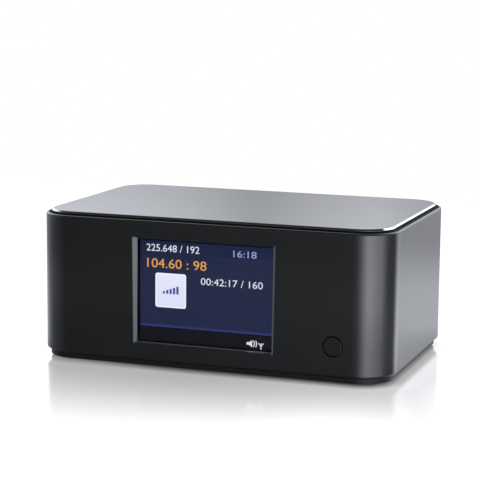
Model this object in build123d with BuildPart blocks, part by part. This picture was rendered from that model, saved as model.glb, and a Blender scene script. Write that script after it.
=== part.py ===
from build123d import *
import os

# Digital radio adapter: a black box with a small colour display and one push button at the front,
# and the sockets for the aerial, the sound and the power at the back.
# Millimetres. X runs to the right along the front, Y to the back, Z up from the surface it stands on.
# The origin is on that surface, in the middle of the width and of the depth with the sockets.

# Case
case_width = 154.0
case_depth = 101.0
corner_radius = 15.5
wall = 2.2
rim_lip = 1.0
rim_chamfer = 0.5
rebate_depth = 1.8
lid_clearance = 0.25

# Underside
foot_proud = 1.0
foot_recess = 0.6
foot_radius = 6.0
foot_inset_x = 21.0
foot_inset_y = 17.5
foot_clearance = 0.05
foot_chamfer = 0.3
base_cap_height = 2.1
base_cap_inset = 1.7
base_floor = 2.0
base_wall = 2.4
shadow_groove = 0.5
groove_inset = 2.7

# Top
band_height = 0.25
plate_lift = 0.62
plate_inset = 2.39
plate_thickness = 0.9
plate_chamfer = 0.6
neck_inset = 3.3
cover_roof = 2.2
cover_skirt = 2.0

# Corner posts and the screws that clamp cover, sleeve and base together
post_inset = 11.0
post_radius = 3.6
post_foot = 8.0
screw_play = 0.02
case_screw_radius = 1.5
case_screw_grip = 10.0
case_screw_head_radius = 2.8
case_screw_head_height = 1.8
case_screw_head_depth = 2.4
hole_play = 0.2
pilot_spare = 1.0

# The cross in every screw's head, as shares of the head
cross_length = 1.15
cross_width = 0.28
cross_depth = 0.6

# Display
display_x = -1.4
display_drop = 0.25
display_space = 4.15
lcd_active_width = 57.8
lcd_active_height = 42.5
window_side = 0.55
window_edge = 0.4
mouth_side = 1.3
mouth_flare = 0.25
mouth_top = 0.7
mouth_bottom = 0.5
mouth_depth_bottom = 1.3
mouth_depth_top = 1.9
lens_margin = 3.4
lens_thickness = 1.0
lens_corner = 1.0
gasket_thickness = 0.5
lcd_frame_side = 5.1
lcd_frame_edge = 3.75
lcd_frame_gauge = 0.3
lcd_frame_margin = 0.6
lcd_glass_thickness = 1.4
backlight_thickness = 1.3
ribbon_width = 24.0
ribbon_gauge = 0.25
ribbon_side_play = 1.0
ribbon_drop = 1.5
ribbon_bend = 0.6
ribbon_connector_depth = 2.0
ribbon_connector_height = 5.0
ribbon_connector_rise = 1.5
ribbon_connector_margin = 1.5
lcd_play = 0.1
carrier_thickness = 2.0
carrier_rim = 1.6
carrier_rim_height = 2.4
carrier_slot_bite = 0.4
carrier_ear_reach = 4.0
carrier_ear_rise = 18.0
carrier_ear_radius = 3.4
carrier_window_rise = 4.0
carrier_window_side = 12.0
carrier_window_end = 13.0
small_boss_radius = 2.6
small_screw_radius = 1.1
small_screw_grip = 3.5
small_head_radius = 2.0
small_head_height = 1.3

# Push button and its switch
button_inset = 23.0
button_rise = 12.25
button_radius = 3.95
button_gap = 0.35
button_fillet = 0.25
button_flange_radius = 5.4
button_flange_thickness = 1.0
button_stem_radius = 2.6
button_travel = 0.5
button_rest_gap = 0.2
guide_wall = 1.2
guide_play = 0.15
guide_spare = 1.5
switch_body = 6.0
switch_body_height = 3.5
switch_plunger_radius = 1.75
switch_plunger_height = 1.5
switch_bore_depth = 2.6
switch_plunger_hidden = 1.8
plunger_play = 0.05
plunger_gap = 0.05

# Front board
front_board_gap = 2.3
board_thickness = 1.6
front_board_overhang = 0.6
front_board_past_button = 7.0
front_board_low = 5.4
front_board_height = 29.0
front_screw_inset = 4.0
guide_boss_distance = 10.4
carrier_boss_gap = 1.5
ir_offset = 8.5
ir_rise = 24.0
ir_width = 6.0
ir_length = 5.5
ir_dome_radius = 2.4
ir_dome_height = 1.2
ir_dome_fillet = 0.9
ir_window_wall = 1.0
ir_pocket_radius = 4.0

# Main board
board_side_gap = 24.5
board_front_gap = 8.6
board_corner = 1.5
board_standoff = 6.6
board_panel_gap = 0.4
standoff_radius = 3.0
board_screw_radius = 1.25
board_screw_grip = 4.0
board_screw_head_radius = 2.4
board_screw_head_height = 1.5
board_screw_inset = 4.5
board_rear_screw_inset = 17.0

# Rear panel
rear_opening_side = 17.5
rear_opening_height = 21.0
rear_opening_rise = 6.0
rear_opening_radius = 2.0
panel_flange = 1.2
panel_overlap = 1.1
panel_recess = 0.6
panel_play = 0.2
panel_screw_inset = 3.5
panel_screw_counterbore = 1.0
pillar_width = 6.0
pillar_depth = 5.5
pillar_top = 5.0

# Sockets
socket_reach = 9.5
socket_axis_rise = 8.3
socket_seat = 0.1
rca_x = (11.0, 25.0)
rca_body_height = 15.0
rca_body_depth = 10.0
rca_body_margin = 6.0
rca_shell_radius = 4.15
rca_shell_gauge = 0.5
rca_shell_chamfer = 0.2
relief_width = 0.6
relief_depth = 0.2
rca_shell_root = 2.0
rca_insert_recess = 1.2
rca_contact_radius = 1.85
rca_contact_gauge = 0.25
rca_contact_length = 7.5
rca_contact_recess = 0.6
rca_hole_gap = 0.35
rca_screw_rise = 5.2
socket_screw_spare = 0.3
optical_x = -8.0
optical_width = 11.2
optical_height = 12.4
optical_depth = 14.0
optical_side = 1.2
optical_floor = 1.5
optical_cavity_depth = 10.8
optical_lip = 0.3
optical_mouth_width = 8.0
optical_mouth_rise = 2.2
optical_mouth_height = 8.0
optical_mouth_corner = 0.8
shutter_thickness = 0.9
shutter_gap = 0.05
shutter_side_gap = 0.15
shutter_axis_drop = 0.9
shutter_below_gap = 0.3
hinge_pin_radius = 0.3
hinge_pin_play = 0.01
hinge_play = 0.04
emitter_radius = 1.6
emitter_nose = 1.5
emitter_width = 6.0
emitter_depth = 2.0
emitter_play = 0.05
antenna_inset = 8.5
antenna_thread_radius = 4.76
antenna_chamfer = 0.4
antenna_flange_radius = 6.0
antenna_flange_thickness = 2.0
antenna_tail_radius = 3.4
antenna_tail_length = 6.0
antenna_bore_radius = 3.4
antenna_bore_depth = 7.0
antenna_contact_radius = 0.6
antenna_nut_flats = 11.0
antenna_nut_thickness = 2.2
washer_thickness = 0.5
washer_radius = 6.4
dc_inset = 8.5
dc_width = 9.0
dc_height = 11.0
dc_depth = 14.0
dc_axis_rise = 6.5
dc_nose_radius = 4.3
dc_nose_recess = 0.3
dc_nose_root = 1.0
dc_hole_radius = 3.1
dc_hole_depth = 9.5
dc_pin_radius = 1.05
dc_pin_recess = 1.2
dc_pin_fillet = 0.5

# Levels and planes that follow from the sizes above. The case is as high as the display needs.
lcd_frame_width = lcd_active_width + 2 * lcd_frame_side
lcd_frame_height = lcd_active_height + 2 * lcd_frame_edge
window_width = lcd_active_width + 2 * window_side
window_height = lcd_active_height + 2 * window_edge
sleeve_height = lcd_frame_height + 2 * display_space
base_bottom = foot_proud
groove_bottom = base_bottom + base_cap_height
sleeve_bottom = groove_bottom + shadow_groove
sleeve_top = sleeve_bottom + sleeve_height
base_inner = base_bottom + base_floor
base_shoulder = sleeve_bottom + rebate_depth
cover_shoulder = sleeve_top - rebate_depth
plate_bottom = sleeve_top + plate_lift
rear_overhang = socket_reach - panel_recess
case_y = -rear_overhang / 2
front = case_y - case_depth / 2
rear = case_y + case_depth / 2
front_inner = front + wall
rear_inner = rear - wall
display_z = sleeve_bottom + sleeve_height / 2 - display_drop
button_z = sleeve_bottom + button_rise
board_top = base_inner + board_standoff + board_thickness
panel_inner = rear_inner - panel_flange
panel_face = rear - panel_recess
socket_tip = panel_face + socket_reach
socket_z = board_top + socket_axis_rise
board_rear = panel_inner - board_panel_gap
lid_inset = rim_lip + lid_clearance
post_x = case_width / 2 - post_inset
post_y = case_depth / 2 - post_inset
post_places = [(x, case_y + y) for x in (-post_x, post_x) for y in (-post_y, post_y)]
foot_x = case_width / 2 - foot_inset_x
foot_y = case_depth / 2 - foot_inset_y
foot_places = [(x, case_y + y) for x in (-foot_x, foot_x) for y in (-foot_y, foot_y)]
button_x = case_width / 2 - button_inset
ir_x = button_x - ir_offset
front_board_left = display_x - lcd_frame_width / 2 - front_board_overhang
front_board_right = button_x + front_board_past_button
board_width = case_width - 2 * board_side_gap
rear_opening_width = case_width - 2 * rear_opening_side
panel_screw_x = rear_opening_width / 2 - panel_screw_inset
antenna_x = antenna_inset - board_width / 2
dc_x = board_width / 2 - dc_inset
rca_root_radius = rca_shell_radius - relief_depth
antenna_core_radius = antenna_thread_radius - relief_depth


def upright(y):
    """A plane across the case at depth y, seen from the front: its x is X and its y is Z."""
    return Plane(origin=(0, y, 0), x_dir=(1, 0, 0), z_dir=(0, -1, 0))


def case_outline(inset):
    """The plan of the case, drawn in by inset all round."""
    with Locations((0, case_y)):
        RectangleRounded(
            case_width - 2 * inset, case_depth - 2 * inset, corner_radius - inset
        )


def head_cross(head_radius):
    """The cross in a screw's head."""
    Rectangle(head_radius * cross_length, head_radius * cross_width)
    Rectangle(head_radius * cross_width, head_radius * cross_length)


def write(piece, label):
    """Labels a finished piece and writes it."""
    piece.part.label = label
    export_step(piece.part, f"parts/{label}.step")


os.makedirs("parts", exist_ok=True)

# Depths of the display's layers behind the front wall
lens_back = front_inner + lens_thickness
gasket_back = lens_back + gasket_thickness
lcd_frame_front = gasket_back
lcd_front = lcd_frame_front + lcd_frame_gauge
lcd_back = lcd_front + lcd_glass_thickness
backlight_back = lcd_back + backlight_thickness
carrier_front = backlight_back
carrier_back = carrier_front + carrier_thickness
front_board_front = carrier_back + front_board_gap
front_board_back = front_board_front + board_thickness
board_front = front_board_back + board_front_gap
board_depth = board_rear - board_front
board_y = (board_rear + board_front) / 2

# Places of the screws behind the front wall
ear_x = lcd_frame_width / 2 + carrier_ear_reach
carrier_screw_places = [
    (display_x + x, display_z + z)
    for x in (-ear_x, ear_x)
    for z in (-carrier_ear_rise, carrier_ear_rise)
]
front_board_bottom = sleeve_bottom + front_board_low
front_board_top = front_board_bottom + front_board_height
carrier_half = lcd_frame_width / 2 + lcd_play + carrier_rim
carrier_boss_x = display_x + carrier_half + carrier_boss_gap + small_boss_radius
wall_boss_places = [
    (button_x, button_z + guide_boss_distance),
    (carrier_boss_x, front_board_top - front_screw_inset),
]
carrier_post_places = [
    (front_board_left + front_screw_inset, front_board_bottom + front_screw_inset),
    (front_board_left + front_screw_inset, front_board_top - front_screw_inset),
]

# Sleeve: the outer wall all round, open at the top and at the bottom, with a rebate at each end.
# The display's mouth has bevelled sides, and its inner edge leans back a little.
mouth_lean = (mouth_depth_top - mouth_depth_bottom) / window_height
mouth_mid_depth = (mouth_depth_top + mouth_depth_bottom) / 2
mouth_plane = Plane(
    origin=(display_x, front + mouth_mid_depth, display_z),
    x_dir=(1, 0, 0),
    z_dir=(0, -1, mouth_lean),
)
mouth_low = -window_height / 2 - mouth_bottom
mouth_high = window_height / 2 + mouth_top
mouth_half_low = window_width / 2 + mouth_side - mouth_flare
mouth_half_high = window_width / 2 + mouth_side + mouth_flare
guide_inner = button_flange_radius + guide_play
guide_outer = guide_inner + guide_wall
guide_back = front_inner + button_rest_gap + button_flange_thickness + button_travel + guide_spare
rear_opening_z = sleeve_bottom + rear_opening_rise + rear_opening_height / 2
ir_z = sleeve_bottom + ir_rise
with BuildPart() as body_sleeve:
    with BuildSketch(Plane.XY.offset(sleeve_bottom)):
        case_outline(0)
    extrude(amount=sleeve_height)
    chamfer(body_sleeve.edges().group_by(Axis.Z)[-1], length=rim_chamfer)
    chamfer(body_sleeve.edges().group_by(Axis.Z)[0], length=rim_chamfer)
    with BuildSketch(Plane.XY.offset(sleeve_bottom)):
        case_outline(wall)
    extrude(amount=sleeve_height, mode=Mode.SUBTRACT)
    for level in (sleeve_bottom, cover_shoulder):
        with BuildSketch(Plane.XY.offset(level)):
            case_outline(rim_lip)
        extrude(amount=rebate_depth, mode=Mode.SUBTRACT)
    # screw bosses and the ring that guides the button, on the inside of the front wall
    with BuildSketch(upright(carrier_front)):
        with Locations(*carrier_screw_places):
            Circle(small_boss_radius)
    extrude(amount=carrier_front - front_inner + wall / 2)
    with BuildSketch(upright(front_board_front)):
        with Locations(*wall_boss_places):
            Circle(small_boss_radius)
    extrude(amount=front_board_front - front_inner + wall / 2)
    with BuildSketch(upright(guide_back)):
        with Locations((button_x, button_z)):
            Circle(guide_outer)
    extrude(amount=guide_back - front_inner + wall / 2)
    with BuildSketch(upright(guide_back)):
        with Locations((button_x, button_z)):
            Circle(guide_inner)
    extrude(amount=guide_back - front_inner, mode=Mode.SUBTRACT)
    with BuildSketch(upright(front_inner)):
        with Locations((button_x, button_z)):
            Circle(button_radius + button_gap)
    extrude(amount=wall, mode=Mode.SUBTRACT)
    # pilot holes in the bosses
    with BuildSketch(upright(carrier_front)):
        with Locations(*carrier_screw_places):
            Circle(small_screw_radius + screw_play)
    extrude(amount=small_screw_grip, mode=Mode.SUBTRACT)
    with BuildSketch(upright(front_board_front)):
        with Locations(*wall_boss_places):
            Circle(small_screw_radius + screw_play)
    extrude(amount=small_screw_grip, mode=Mode.SUBTRACT)
    # the display's mouth
    with BuildSketch(upright(front)):
        with Locations((display_x, display_z)):
            Polygon(
                (-mouth_half_low, mouth_low),
                (mouth_half_low, mouth_low),
                (mouth_half_high, mouth_high),
                (-mouth_half_high, mouth_high),
                align=None,
            )
    with BuildSketch(mouth_plane):
        Rectangle(window_width, window_height)
    loft(ruled=True, mode=Mode.SUBTRACT)
    with BuildSketch(upright(front_inner)):
        with Locations((display_x, display_z)):
            Rectangle(window_width, window_height)
    extrude(amount=wall - mouth_depth_bottom, mode=Mode.SUBTRACT)
    # thin place in front of the infrared receiver
    with BuildSketch(upright(front_inner)):
        with Locations((ir_x, ir_z)):
            Circle(ir_pocket_radius)
    extrude(amount=wall - ir_window_wall, mode=Mode.SUBTRACT)
    # opening for the rear panel
    with BuildSketch(upright(rear)):
        with Locations((0, rear_opening_z)):
            RectangleRounded(rear_opening_width, rear_opening_height, rear_opening_radius)
    extrude(amount=wall, mode=Mode.SUBTRACT)
write(body_sleeve, "body_sleeve")

# Top cover: drops into the sleeve's upper rebate, shows a thin band and a neck above the rim,
# and has four posts that reach down to the base.
post_bottom = base_inner + post_foot
case_screw_tip = post_bottom + case_screw_grip
with BuildPart() as top_cover:
    with BuildSketch(Plane.XY.offset(cover_shoulder)):
        case_outline(lid_inset)
    extrude(amount=rebate_depth + band_height)
    with BuildSketch(Plane.XY.offset(sleeve_top + band_height)):
        case_outline(neck_inset)
    extrude(amount=plate_lift - band_height)
    with BuildSketch(Plane.XY.offset(cover_shoulder)):
        case_outline(lid_inset + cover_skirt)
    extrude(amount=plate_bottom - cover_roof - cover_shoulder, mode=Mode.SUBTRACT)
    with BuildSketch(Plane.XY.offset(post_bottom)):
        with Locations(*post_places):
            Circle(post_radius)
    extrude(amount=plate_bottom - cover_roof / 2 - post_bottom)
    with BuildSketch(Plane.XY.offset(post_bottom)):
        with Locations(*post_places):
            Circle(case_screw_radius + screw_play)
    extrude(amount=case_screw_grip + pilot_spare, mode=Mode.SUBTRACT)
write(top_cover, "top_cover")

# Top plate: a thin brushed sheet with a bright cut edge, bonded on the cover's neck
with BuildPart() as top_plate:
    with BuildSketch(Plane.XY.offset(plate_bottom)):
        case_outline(plate_inset)
    extrude(amount=plate_thickness)
    chamfer(top_plate.edges().group_by(Axis.Z)[-1], length=plate_chamfer)
write(top_plate, "top_plate")

# Base: a tray that plugs into the lower rebate, with standoffs for the board and pillars for the panel
standoff_top = base_inner + board_standoff
standoff_x = board_width / 2 - board_screw_inset
board_screw_places = [
    (x, y)
    for x in (-standoff_x, standoff_x)
    for y in (board_front + board_screw_inset, board_rear - board_rear_screw_inset)
]
pillar_places = [(x, panel_inner - pillar_depth / 2) for x in (-panel_screw_x, panel_screw_x)]
panel_screw_places = [(x, socket_z) for x in (-panel_screw_x, panel_screw_x)]
with BuildPart() as base_plate:
    with BuildSketch(Plane.XY.offset(base_bottom)):
        case_outline(base_cap_inset)
    extrude(amount=base_cap_height)
    with BuildSketch(Plane.XY.offset(groove_bottom)):
        case_outline(groove_inset)
    extrude(amount=shadow_groove)
    with BuildSketch(Plane.XY.offset(sleeve_bottom)):
        case_outline(lid_inset)
    extrude(amount=rebate_depth)
    with BuildSketch(Plane.XY.offset(base_inner)):
        case_outline(groove_inset + base_wall)
    extrude(amount=base_shoulder - base_inner, mode=Mode.SUBTRACT)
    with BuildSketch(Plane.XY.offset(base_inner)):
        with Locations(*post_places):
            Circle(post_radius + base_wall / 2)
    extrude(amount=post_bottom - base_inner)
    with BuildSketch(Plane.XY.offset(base_inner)):
        with Locations(*board_screw_places):
            Circle(standoff_radius)
    extrude(amount=board_standoff)
    with BuildSketch(Plane.XY.offset(base_inner)):
        with Locations(*pillar_places):
            Rectangle(pillar_width, pillar_depth)
    extrude(amount=socket_z + pillar_top - base_inner)
    # holes for the case screws, sunk from below
    with BuildSketch(Plane.XY.offset(base_bottom)):
        with Locations(*post_places):
            Circle(case_screw_radius + hole_play)
    extrude(amount=post_bottom - base_bottom, mode=Mode.SUBTRACT)
    with BuildSketch(Plane.XY.offset(base_bottom)):
        with Locations(*post_places):
            Circle(case_screw_head_radius + hole_play)
    extrude(amount=case_screw_head_depth, mode=Mode.SUBTRACT)
    # pilot holes for the board's screws and the panel's screws
    with BuildSketch(Plane.XY.offset(standoff_top)):
        with Locations(*board_screw_places):
            Circle(board_screw_radius + screw_play)
    extrude(amount=-board_screw_grip, mode=Mode.SUBTRACT)
    with BuildSketch(upright(panel_inner)):
        with Locations(*panel_screw_places):
            Circle(board_screw_radius + screw_play)
    extrude(amount=board_screw_grip, mode=Mode.SUBTRACT)
    # seats for the feet
    with BuildSketch(Plane.XY.offset(base_bottom)):
        with Locations(*foot_places):
            Circle(foot_radius + foot_clearance)
    extrude(amount=foot_recess, mode=Mode.SUBTRACT)
write(base_plate, "base_plate")

# Four rubber feet, bonded in their seats
with BuildPart() as rubber_feet:
    with BuildSketch():
        with Locations(*foot_places):
            Circle(foot_radius)
    extrude(amount=foot_proud + foot_recess)
    chamfer(rubber_feet.edges().group_by(Axis.Z)[0], length=foot_chamfer)
write(rubber_feet, "rubber_feet")

# Case screws, driven up through the base into the cover's posts
case_head_top = base_bottom + case_screw_head_depth
with BuildPart() as case_screws:
    with BuildSketch(Plane.XY.offset(case_head_top)):
        with Locations(*post_places):
            Circle(case_screw_radius)
    extrude(amount=case_screw_tip - case_head_top)
    with BuildSketch(Plane.XY.offset(case_head_top)):
        with Locations(*post_places):
            Circle(case_screw_head_radius)
    extrude(amount=-case_screw_head_height)
    with BuildSketch(Plane.XY.offset(case_head_top - case_screw_head_height)):
        with Locations(*post_places):
            head_cross(case_screw_head_radius)
    extrude(amount=case_screw_head_height * cross_depth, mode=Mode.SUBTRACT)
write(case_screws, "case_screws")


def screw_row(places, seat, length, radius, head_radius, head_height):
    """Cross-head screws along Y: heads behind the seat, towards the back, and shanks to the front."""
    with BuildPart() as row:
        with BuildSketch(upright(seat)):
            with Locations(*places):
                Circle(radius)
        extrude(amount=length)
        with BuildSketch(upright(seat + head_height)):
            with Locations(*places):
                Circle(head_radius)
        extrude(amount=head_height)
        with BuildSketch(upright(seat + head_height)):
            with Locations(*places):
                head_cross(head_radius)
        extrude(amount=head_height * cross_depth, mode=Mode.SUBTRACT)
    return row


# Display window: clear sheet bonded behind the front wall
with BuildPart() as display_window:
    with BuildSketch(upright(lens_back)):
        with Locations((display_x, display_z)):
            RectangleRounded(
                window_width + 2 * lens_margin, window_height + 2 * lens_margin, lens_corner
            )
    extrude(amount=lens_thickness)
write(display_window, "display_window")

# Black foam frame between the window and the display
with BuildPart() as display_gasket:
    with BuildSketch(upright(gasket_back)):
        with Locations((display_x, display_z)):
            Rectangle(window_width + 2 * lens_margin, window_height + 2 * lens_margin)
            Rectangle(lcd_active_width, lcd_active_height, mode=Mode.SUBTRACT)
    extrude(amount=gasket_thickness)
write(display_gasket, "display_gasket")

# Display module: stamped frame, liquid crystal glass and the light plate behind it
lcd_width = lcd_frame_width - 2 * lcd_frame_gauge - 2 * lcd_play
lcd_height = lcd_frame_height - 2 * lcd_frame_gauge - 2 * lcd_play
ribbon_slot = ribbon_width + 2 * ribbon_side_play
with BuildPart() as lcd_frame:
    with BuildSketch(upright(backlight_back)):
        with Locations((display_x, display_z)):
            Rectangle(lcd_frame_width, lcd_frame_height)
    extrude(amount=backlight_back - lcd_frame_front)
    with BuildSketch(upright(backlight_back)):
        with Locations((display_x, display_z)):
            Rectangle(lcd_width + 2 * lcd_play, lcd_height + 2 * lcd_play)
    extrude(amount=backlight_back - lcd_front, mode=Mode.SUBTRACT)
    with BuildSketch(upright(lcd_front)):
        with Locations((display_x, display_z)):
            Rectangle(
                lcd_active_width + 2 * lcd_frame_margin, lcd_active_height + 2 * lcd_frame_margin
            )
    extrude(amount=lcd_frame_gauge, mode=Mode.SUBTRACT)
    with BuildSketch(upright(backlight_back)):
        with Locations((display_x, display_z - lcd_frame_height / 2)):
            Rectangle(ribbon_slot, 2 * (lcd_frame_gauge + lcd_play))
    extrude(amount=backlight_back - lcd_front, mode=Mode.SUBTRACT)
write(lcd_frame, "lcd_frame")

with BuildPart() as lcd_panel:
    with BuildSketch(upright(lcd_back)):
        with Locations((display_x, display_z)):
            Rectangle(lcd_width, lcd_height)
    extrude(amount=lcd_glass_thickness)
write(lcd_panel, "lcd_panel")

with BuildPart() as backlight_plate:
    with BuildSketch(upright(backlight_back)):
        with Locations((display_x, display_z)):
            Rectangle(lcd_width, lcd_height)
    extrude(amount=backlight_thickness)
write(backlight_plate, "backlight_plate")

# Display carrier: a moulded tray that presses the display forward, screwed to four wall bosses.
# Two posts on its back hold one end of the front board.
carrier_inner_width = lcd_frame_width + 2 * lcd_play
carrier_inner_height = lcd_frame_height + 2 * lcd_play
with BuildPart() as display_carrier:
    with BuildSketch(upright(carrier_back)):
        with Locations((display_x, display_z)):
            Rectangle(carrier_inner_width + 2 * carrier_rim, carrier_inner_height + 2 * carrier_rim)
        for rise in (-carrier_ear_rise, carrier_ear_rise):
            with Locations((display_x, display_z + rise)):
                SlotCenterToCenter(2 * ear_x, 2 * carrier_ear_radius)
    extrude(amount=carrier_thickness)
    with BuildSketch(upright(carrier_front)):
        with Locations((display_x, display_z)):
            Rectangle(carrier_inner_width + 2 * carrier_rim, carrier_inner_height + 2 * carrier_rim)
            Rectangle(carrier_inner_width, carrier_inner_height, mode=Mode.SUBTRACT)
        with Locations(*carrier_screw_places):
            Circle(small_boss_radius + hole_play, mode=Mode.SUBTRACT)
    extrude(amount=carrier_rim_height)
    with BuildSketch(upright(front_board_front)):
        with Locations(*carrier_post_places):
            Circle(small_boss_radius)
    extrude(amount=front_board_gap + carrier_thickness / 2)
    with BuildSketch(upright(front_board_front)):
        with Locations(*carrier_post_places):
            Circle(small_screw_radius + screw_play)
    extrude(amount=front_board_gap + carrier_thickness / 2, mode=Mode.SUBTRACT)
    with BuildSketch(upright(carrier_back)):
        with Locations(*carrier_screw_places):
            Circle(small_screw_radius + hole_play)
    extrude(amount=carrier_thickness, mode=Mode.SUBTRACT)
    # the middle is open, and a slot in the lower rim lets the display's ribbon out
    with BuildSketch(upright(carrier_back)):
        with Locations((display_x, display_z + carrier_window_rise)):
            Rectangle(
                carrier_inner_width - 2 * carrier_window_side,
                carrier_inner_height - 2 * carrier_window_end,
            )
    extrude(amount=carrier_thickness, mode=Mode.SUBTRACT)
    with BuildSketch(upright(carrier_back)):
        with Locations((display_x, display_z - carrier_inner_height / 2 - carrier_rim / 2)):
            Rectangle(ribbon_slot, carrier_rim + 2 * carrier_slot_bite)
    extrude(amount=carrier_thickness + carrier_rim_height, mode=Mode.SUBTRACT)
write(display_carrier, "display_carrier")

carrier_screws = screw_row(
    carrier_screw_places, carrier_back, carrier_thickness + small_screw_grip,
    small_screw_radius, small_head_radius, small_head_height,
)
write(carrier_screws, "carrier_screws")

# Front board: upright behind the display, from the carrier's posts to the bosses by the button
front_screw_places = wall_boss_places + carrier_post_places
with BuildPart() as front_board:
    with BuildSketch(upright(front_board_back)):
        with Locations(
            ((front_board_left + front_board_right) / 2, (front_board_bottom + front_board_top) / 2)
        ):
            Rectangle(front_board_right - front_board_left, front_board_height)
        with Locations(*front_screw_places):
            Circle(small_screw_radius + hole_play, mode=Mode.SUBTRACT)
    extrude(amount=board_thickness)
write(front_board, "front_board")

front_board_screws = screw_row(
    front_screw_places, front_board_back, board_thickness + front_board_gap,
    small_screw_radius, small_head_radius, small_head_height,
)
write(front_board_screws, "front_board_screws")

# Infrared receiver on the front board, behind the thin place in the wall
with BuildPart() as ir_receiver:
    with BuildSketch(upright(front_board_front)):
        with Locations((ir_x, ir_z)):
            Rectangle(ir_width, ir_width)
    extrude(amount=ir_length)
    with BuildSketch(upright(front_board_front - ir_length)):
        with Locations((ir_x, ir_z)):
            Circle(ir_dome_radius)
    extrude(amount=ir_dome_height)
    fillet(ir_receiver.edges().group_by(Axis.Y)[0], radius=ir_dome_fillet)
write(ir_receiver, "ir_receiver")

# Push button: a round cap flush with the front, held in by its flange in the guide ring
switch_front = front_board_front - switch_body_height
plunger_front = switch_front - switch_plunger_height
button_flange_front = front_inner + button_rest_gap
button_flange_back = button_flange_front + button_flange_thickness
button_back = plunger_front - plunger_gap
with BuildPart() as power_button:
    with BuildSketch(upright(button_flange_back)):
        with Locations((button_x, button_z)):
            Circle(button_radius)
    extrude(amount=button_flange_back - front)
    fillet(power_button.edges().group_by(Axis.Y)[0], radius=button_fillet)
    with BuildSketch(upright(button_flange_back)):
        with Locations((button_x, button_z)):
            Circle(button_flange_radius)
    extrude(amount=button_flange_thickness)
    with BuildSketch(upright(button_back)):
        with Locations((button_x, button_z)):
            Circle(button_stem_radius)
    extrude(amount=button_back - button_flange_back)
write(power_button, "power_button")

# Push switch on the front board, with its own sprung plunger
with BuildPart() as tact_switch:
    with BuildSketch(upright(front_board_front)):
        with Locations((button_x, button_z)):
            Rectangle(switch_body, switch_body)
    extrude(amount=switch_body_height)
    with BuildSketch(upright(switch_front + switch_bore_depth)):
        with Locations((button_x, button_z)):
            Circle(switch_plunger_radius + plunger_play)
    extrude(amount=switch_bore_depth, mode=Mode.SUBTRACT)
write(tact_switch, "tact_switch")

with BuildPart() as switch_plunger:
    with BuildSketch(upright(switch_front + switch_plunger_hidden)):
        with Locations((button_x, button_z)):
            Circle(switch_plunger_radius)
    extrude(amount=switch_plunger_height + switch_plunger_hidden)
write(switch_plunger, "switch_plunger")

# Display ribbon: leaves the glass at the bottom, runs under the carrier and up behind the front board
lcd_bottom = display_z - lcd_height / 2
ribbon_start = lcd_front + lcd_glass_thickness / 2
ribbon_low = lcd_bottom - ribbon_drop
ribbon_back = front_board_back + ribbon_connector_depth / 2
ribbon_connector_bottom = front_board_bottom + ribbon_connector_rise
with BuildPart() as lcd_ribbon:
    with BuildSketch(Plane.YZ.offset(display_x - ribbon_width / 2)):
        with BuildLine():
            FilletPolyline(
                (ribbon_start, lcd_bottom),
                (ribbon_start, ribbon_low),
                (ribbon_back, ribbon_low),
                (ribbon_back, ribbon_connector_bottom),
                radius=ribbon_bend,
            )
        trace(line_width=ribbon_gauge)
    extrude(amount=ribbon_width)
write(lcd_ribbon, "lcd_ribbon")

with BuildPart() as ribbon_connector:
    with BuildSketch(upright(front_board_back + ribbon_connector_depth)):
        with Locations((display_x, ribbon_connector_bottom + ribbon_connector_height / 2)):
            Rectangle(ribbon_width + 2 * ribbon_connector_margin, ribbon_connector_height)
    extrude(amount=ribbon_connector_depth)
write(ribbon_connector, "ribbon_connector")

# Main board with its screws
with BuildPart() as main_board:
    with BuildSketch(Plane.XY.offset(standoff_top)):
        with Locations((0, board_y)):
            RectangleRounded(board_width, board_depth, board_corner)
        with Locations(*board_screw_places):
            Circle(board_screw_radius + hole_play, mode=Mode.SUBTRACT)
    extrude(amount=board_thickness)
write(main_board, "main_board")

with BuildPart() as board_screws:
    with BuildSketch(Plane.XY.offset(board_top)):
        with Locations(*board_screw_places):
            Circle(board_screw_radius)
    extrude(amount=-(board_thickness + board_screw_grip))
    with BuildSketch(Plane.XY.offset(board_top)):
        with Locations(*board_screw_places):
            Circle(board_screw_head_radius)
    extrude(amount=board_screw_head_height)
    with BuildSketch(Plane.XY.offset(board_top + board_screw_head_height)):
        with Locations(*board_screw_places):
            head_cross(board_screw_head_radius)
    extrude(amount=-board_screw_head_height * cross_depth, mode=Mode.SUBTRACT)
write(board_screws, "board_screws")


def on_board(places, width, depth, height, level=board_top, corner=0.0):
    """Like blocks that stand on the board at level, as one node."""
    with BuildPart() as blocks:
        with BuildSketch(Plane.XY.offset(level)):
            with Locations(*places):
                if corner:
                    RectangleRounded(width, depth, corner)
                else:
                    Rectangle(width, depth)
        extrude(amount=height)
    return blocks


# Link between the boards: two connectors and a short flat cable
link_x = 5.0
link_width = 14.0
link_thickness = 5.0
link_cable_width = 11.0
link_cable_gauge = 0.8
link_bend = 2.5
link_front_depth = 5.0
link_rise = 12.0
link_inset = 9.0
link_height = 4.2
link_front_z = front_board_bottom + link_rise
link_y = board_front + link_inset
with BuildPart() as link_sockets:
    with BuildSketch(upright(front_board_back + link_front_depth)):
        with Locations((link_x, link_front_z)):
            Rectangle(link_width, link_thickness)
    extrude(amount=link_front_depth)
    with BuildSketch(Plane.XY.offset(board_top)):
        with Locations((link_x, link_y)):
            Rectangle(link_width, link_thickness)
    extrude(amount=link_height)
write(link_sockets, "link_sockets")

with BuildPart() as link_cable:
    with BuildSketch(Plane.YZ.offset(link_x - link_cable_width / 2)):
        with BuildLine():
            FilletPolyline(
                (front_board_back + link_front_depth, link_front_z),
                (link_y, link_front_z),
                (link_y, board_top + link_height),
                radius=link_bend,
            )
        trace(line_width=link_cable_gauge)
    extrude(amount=link_cable_width)
write(link_cable, "link_cable")

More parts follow.
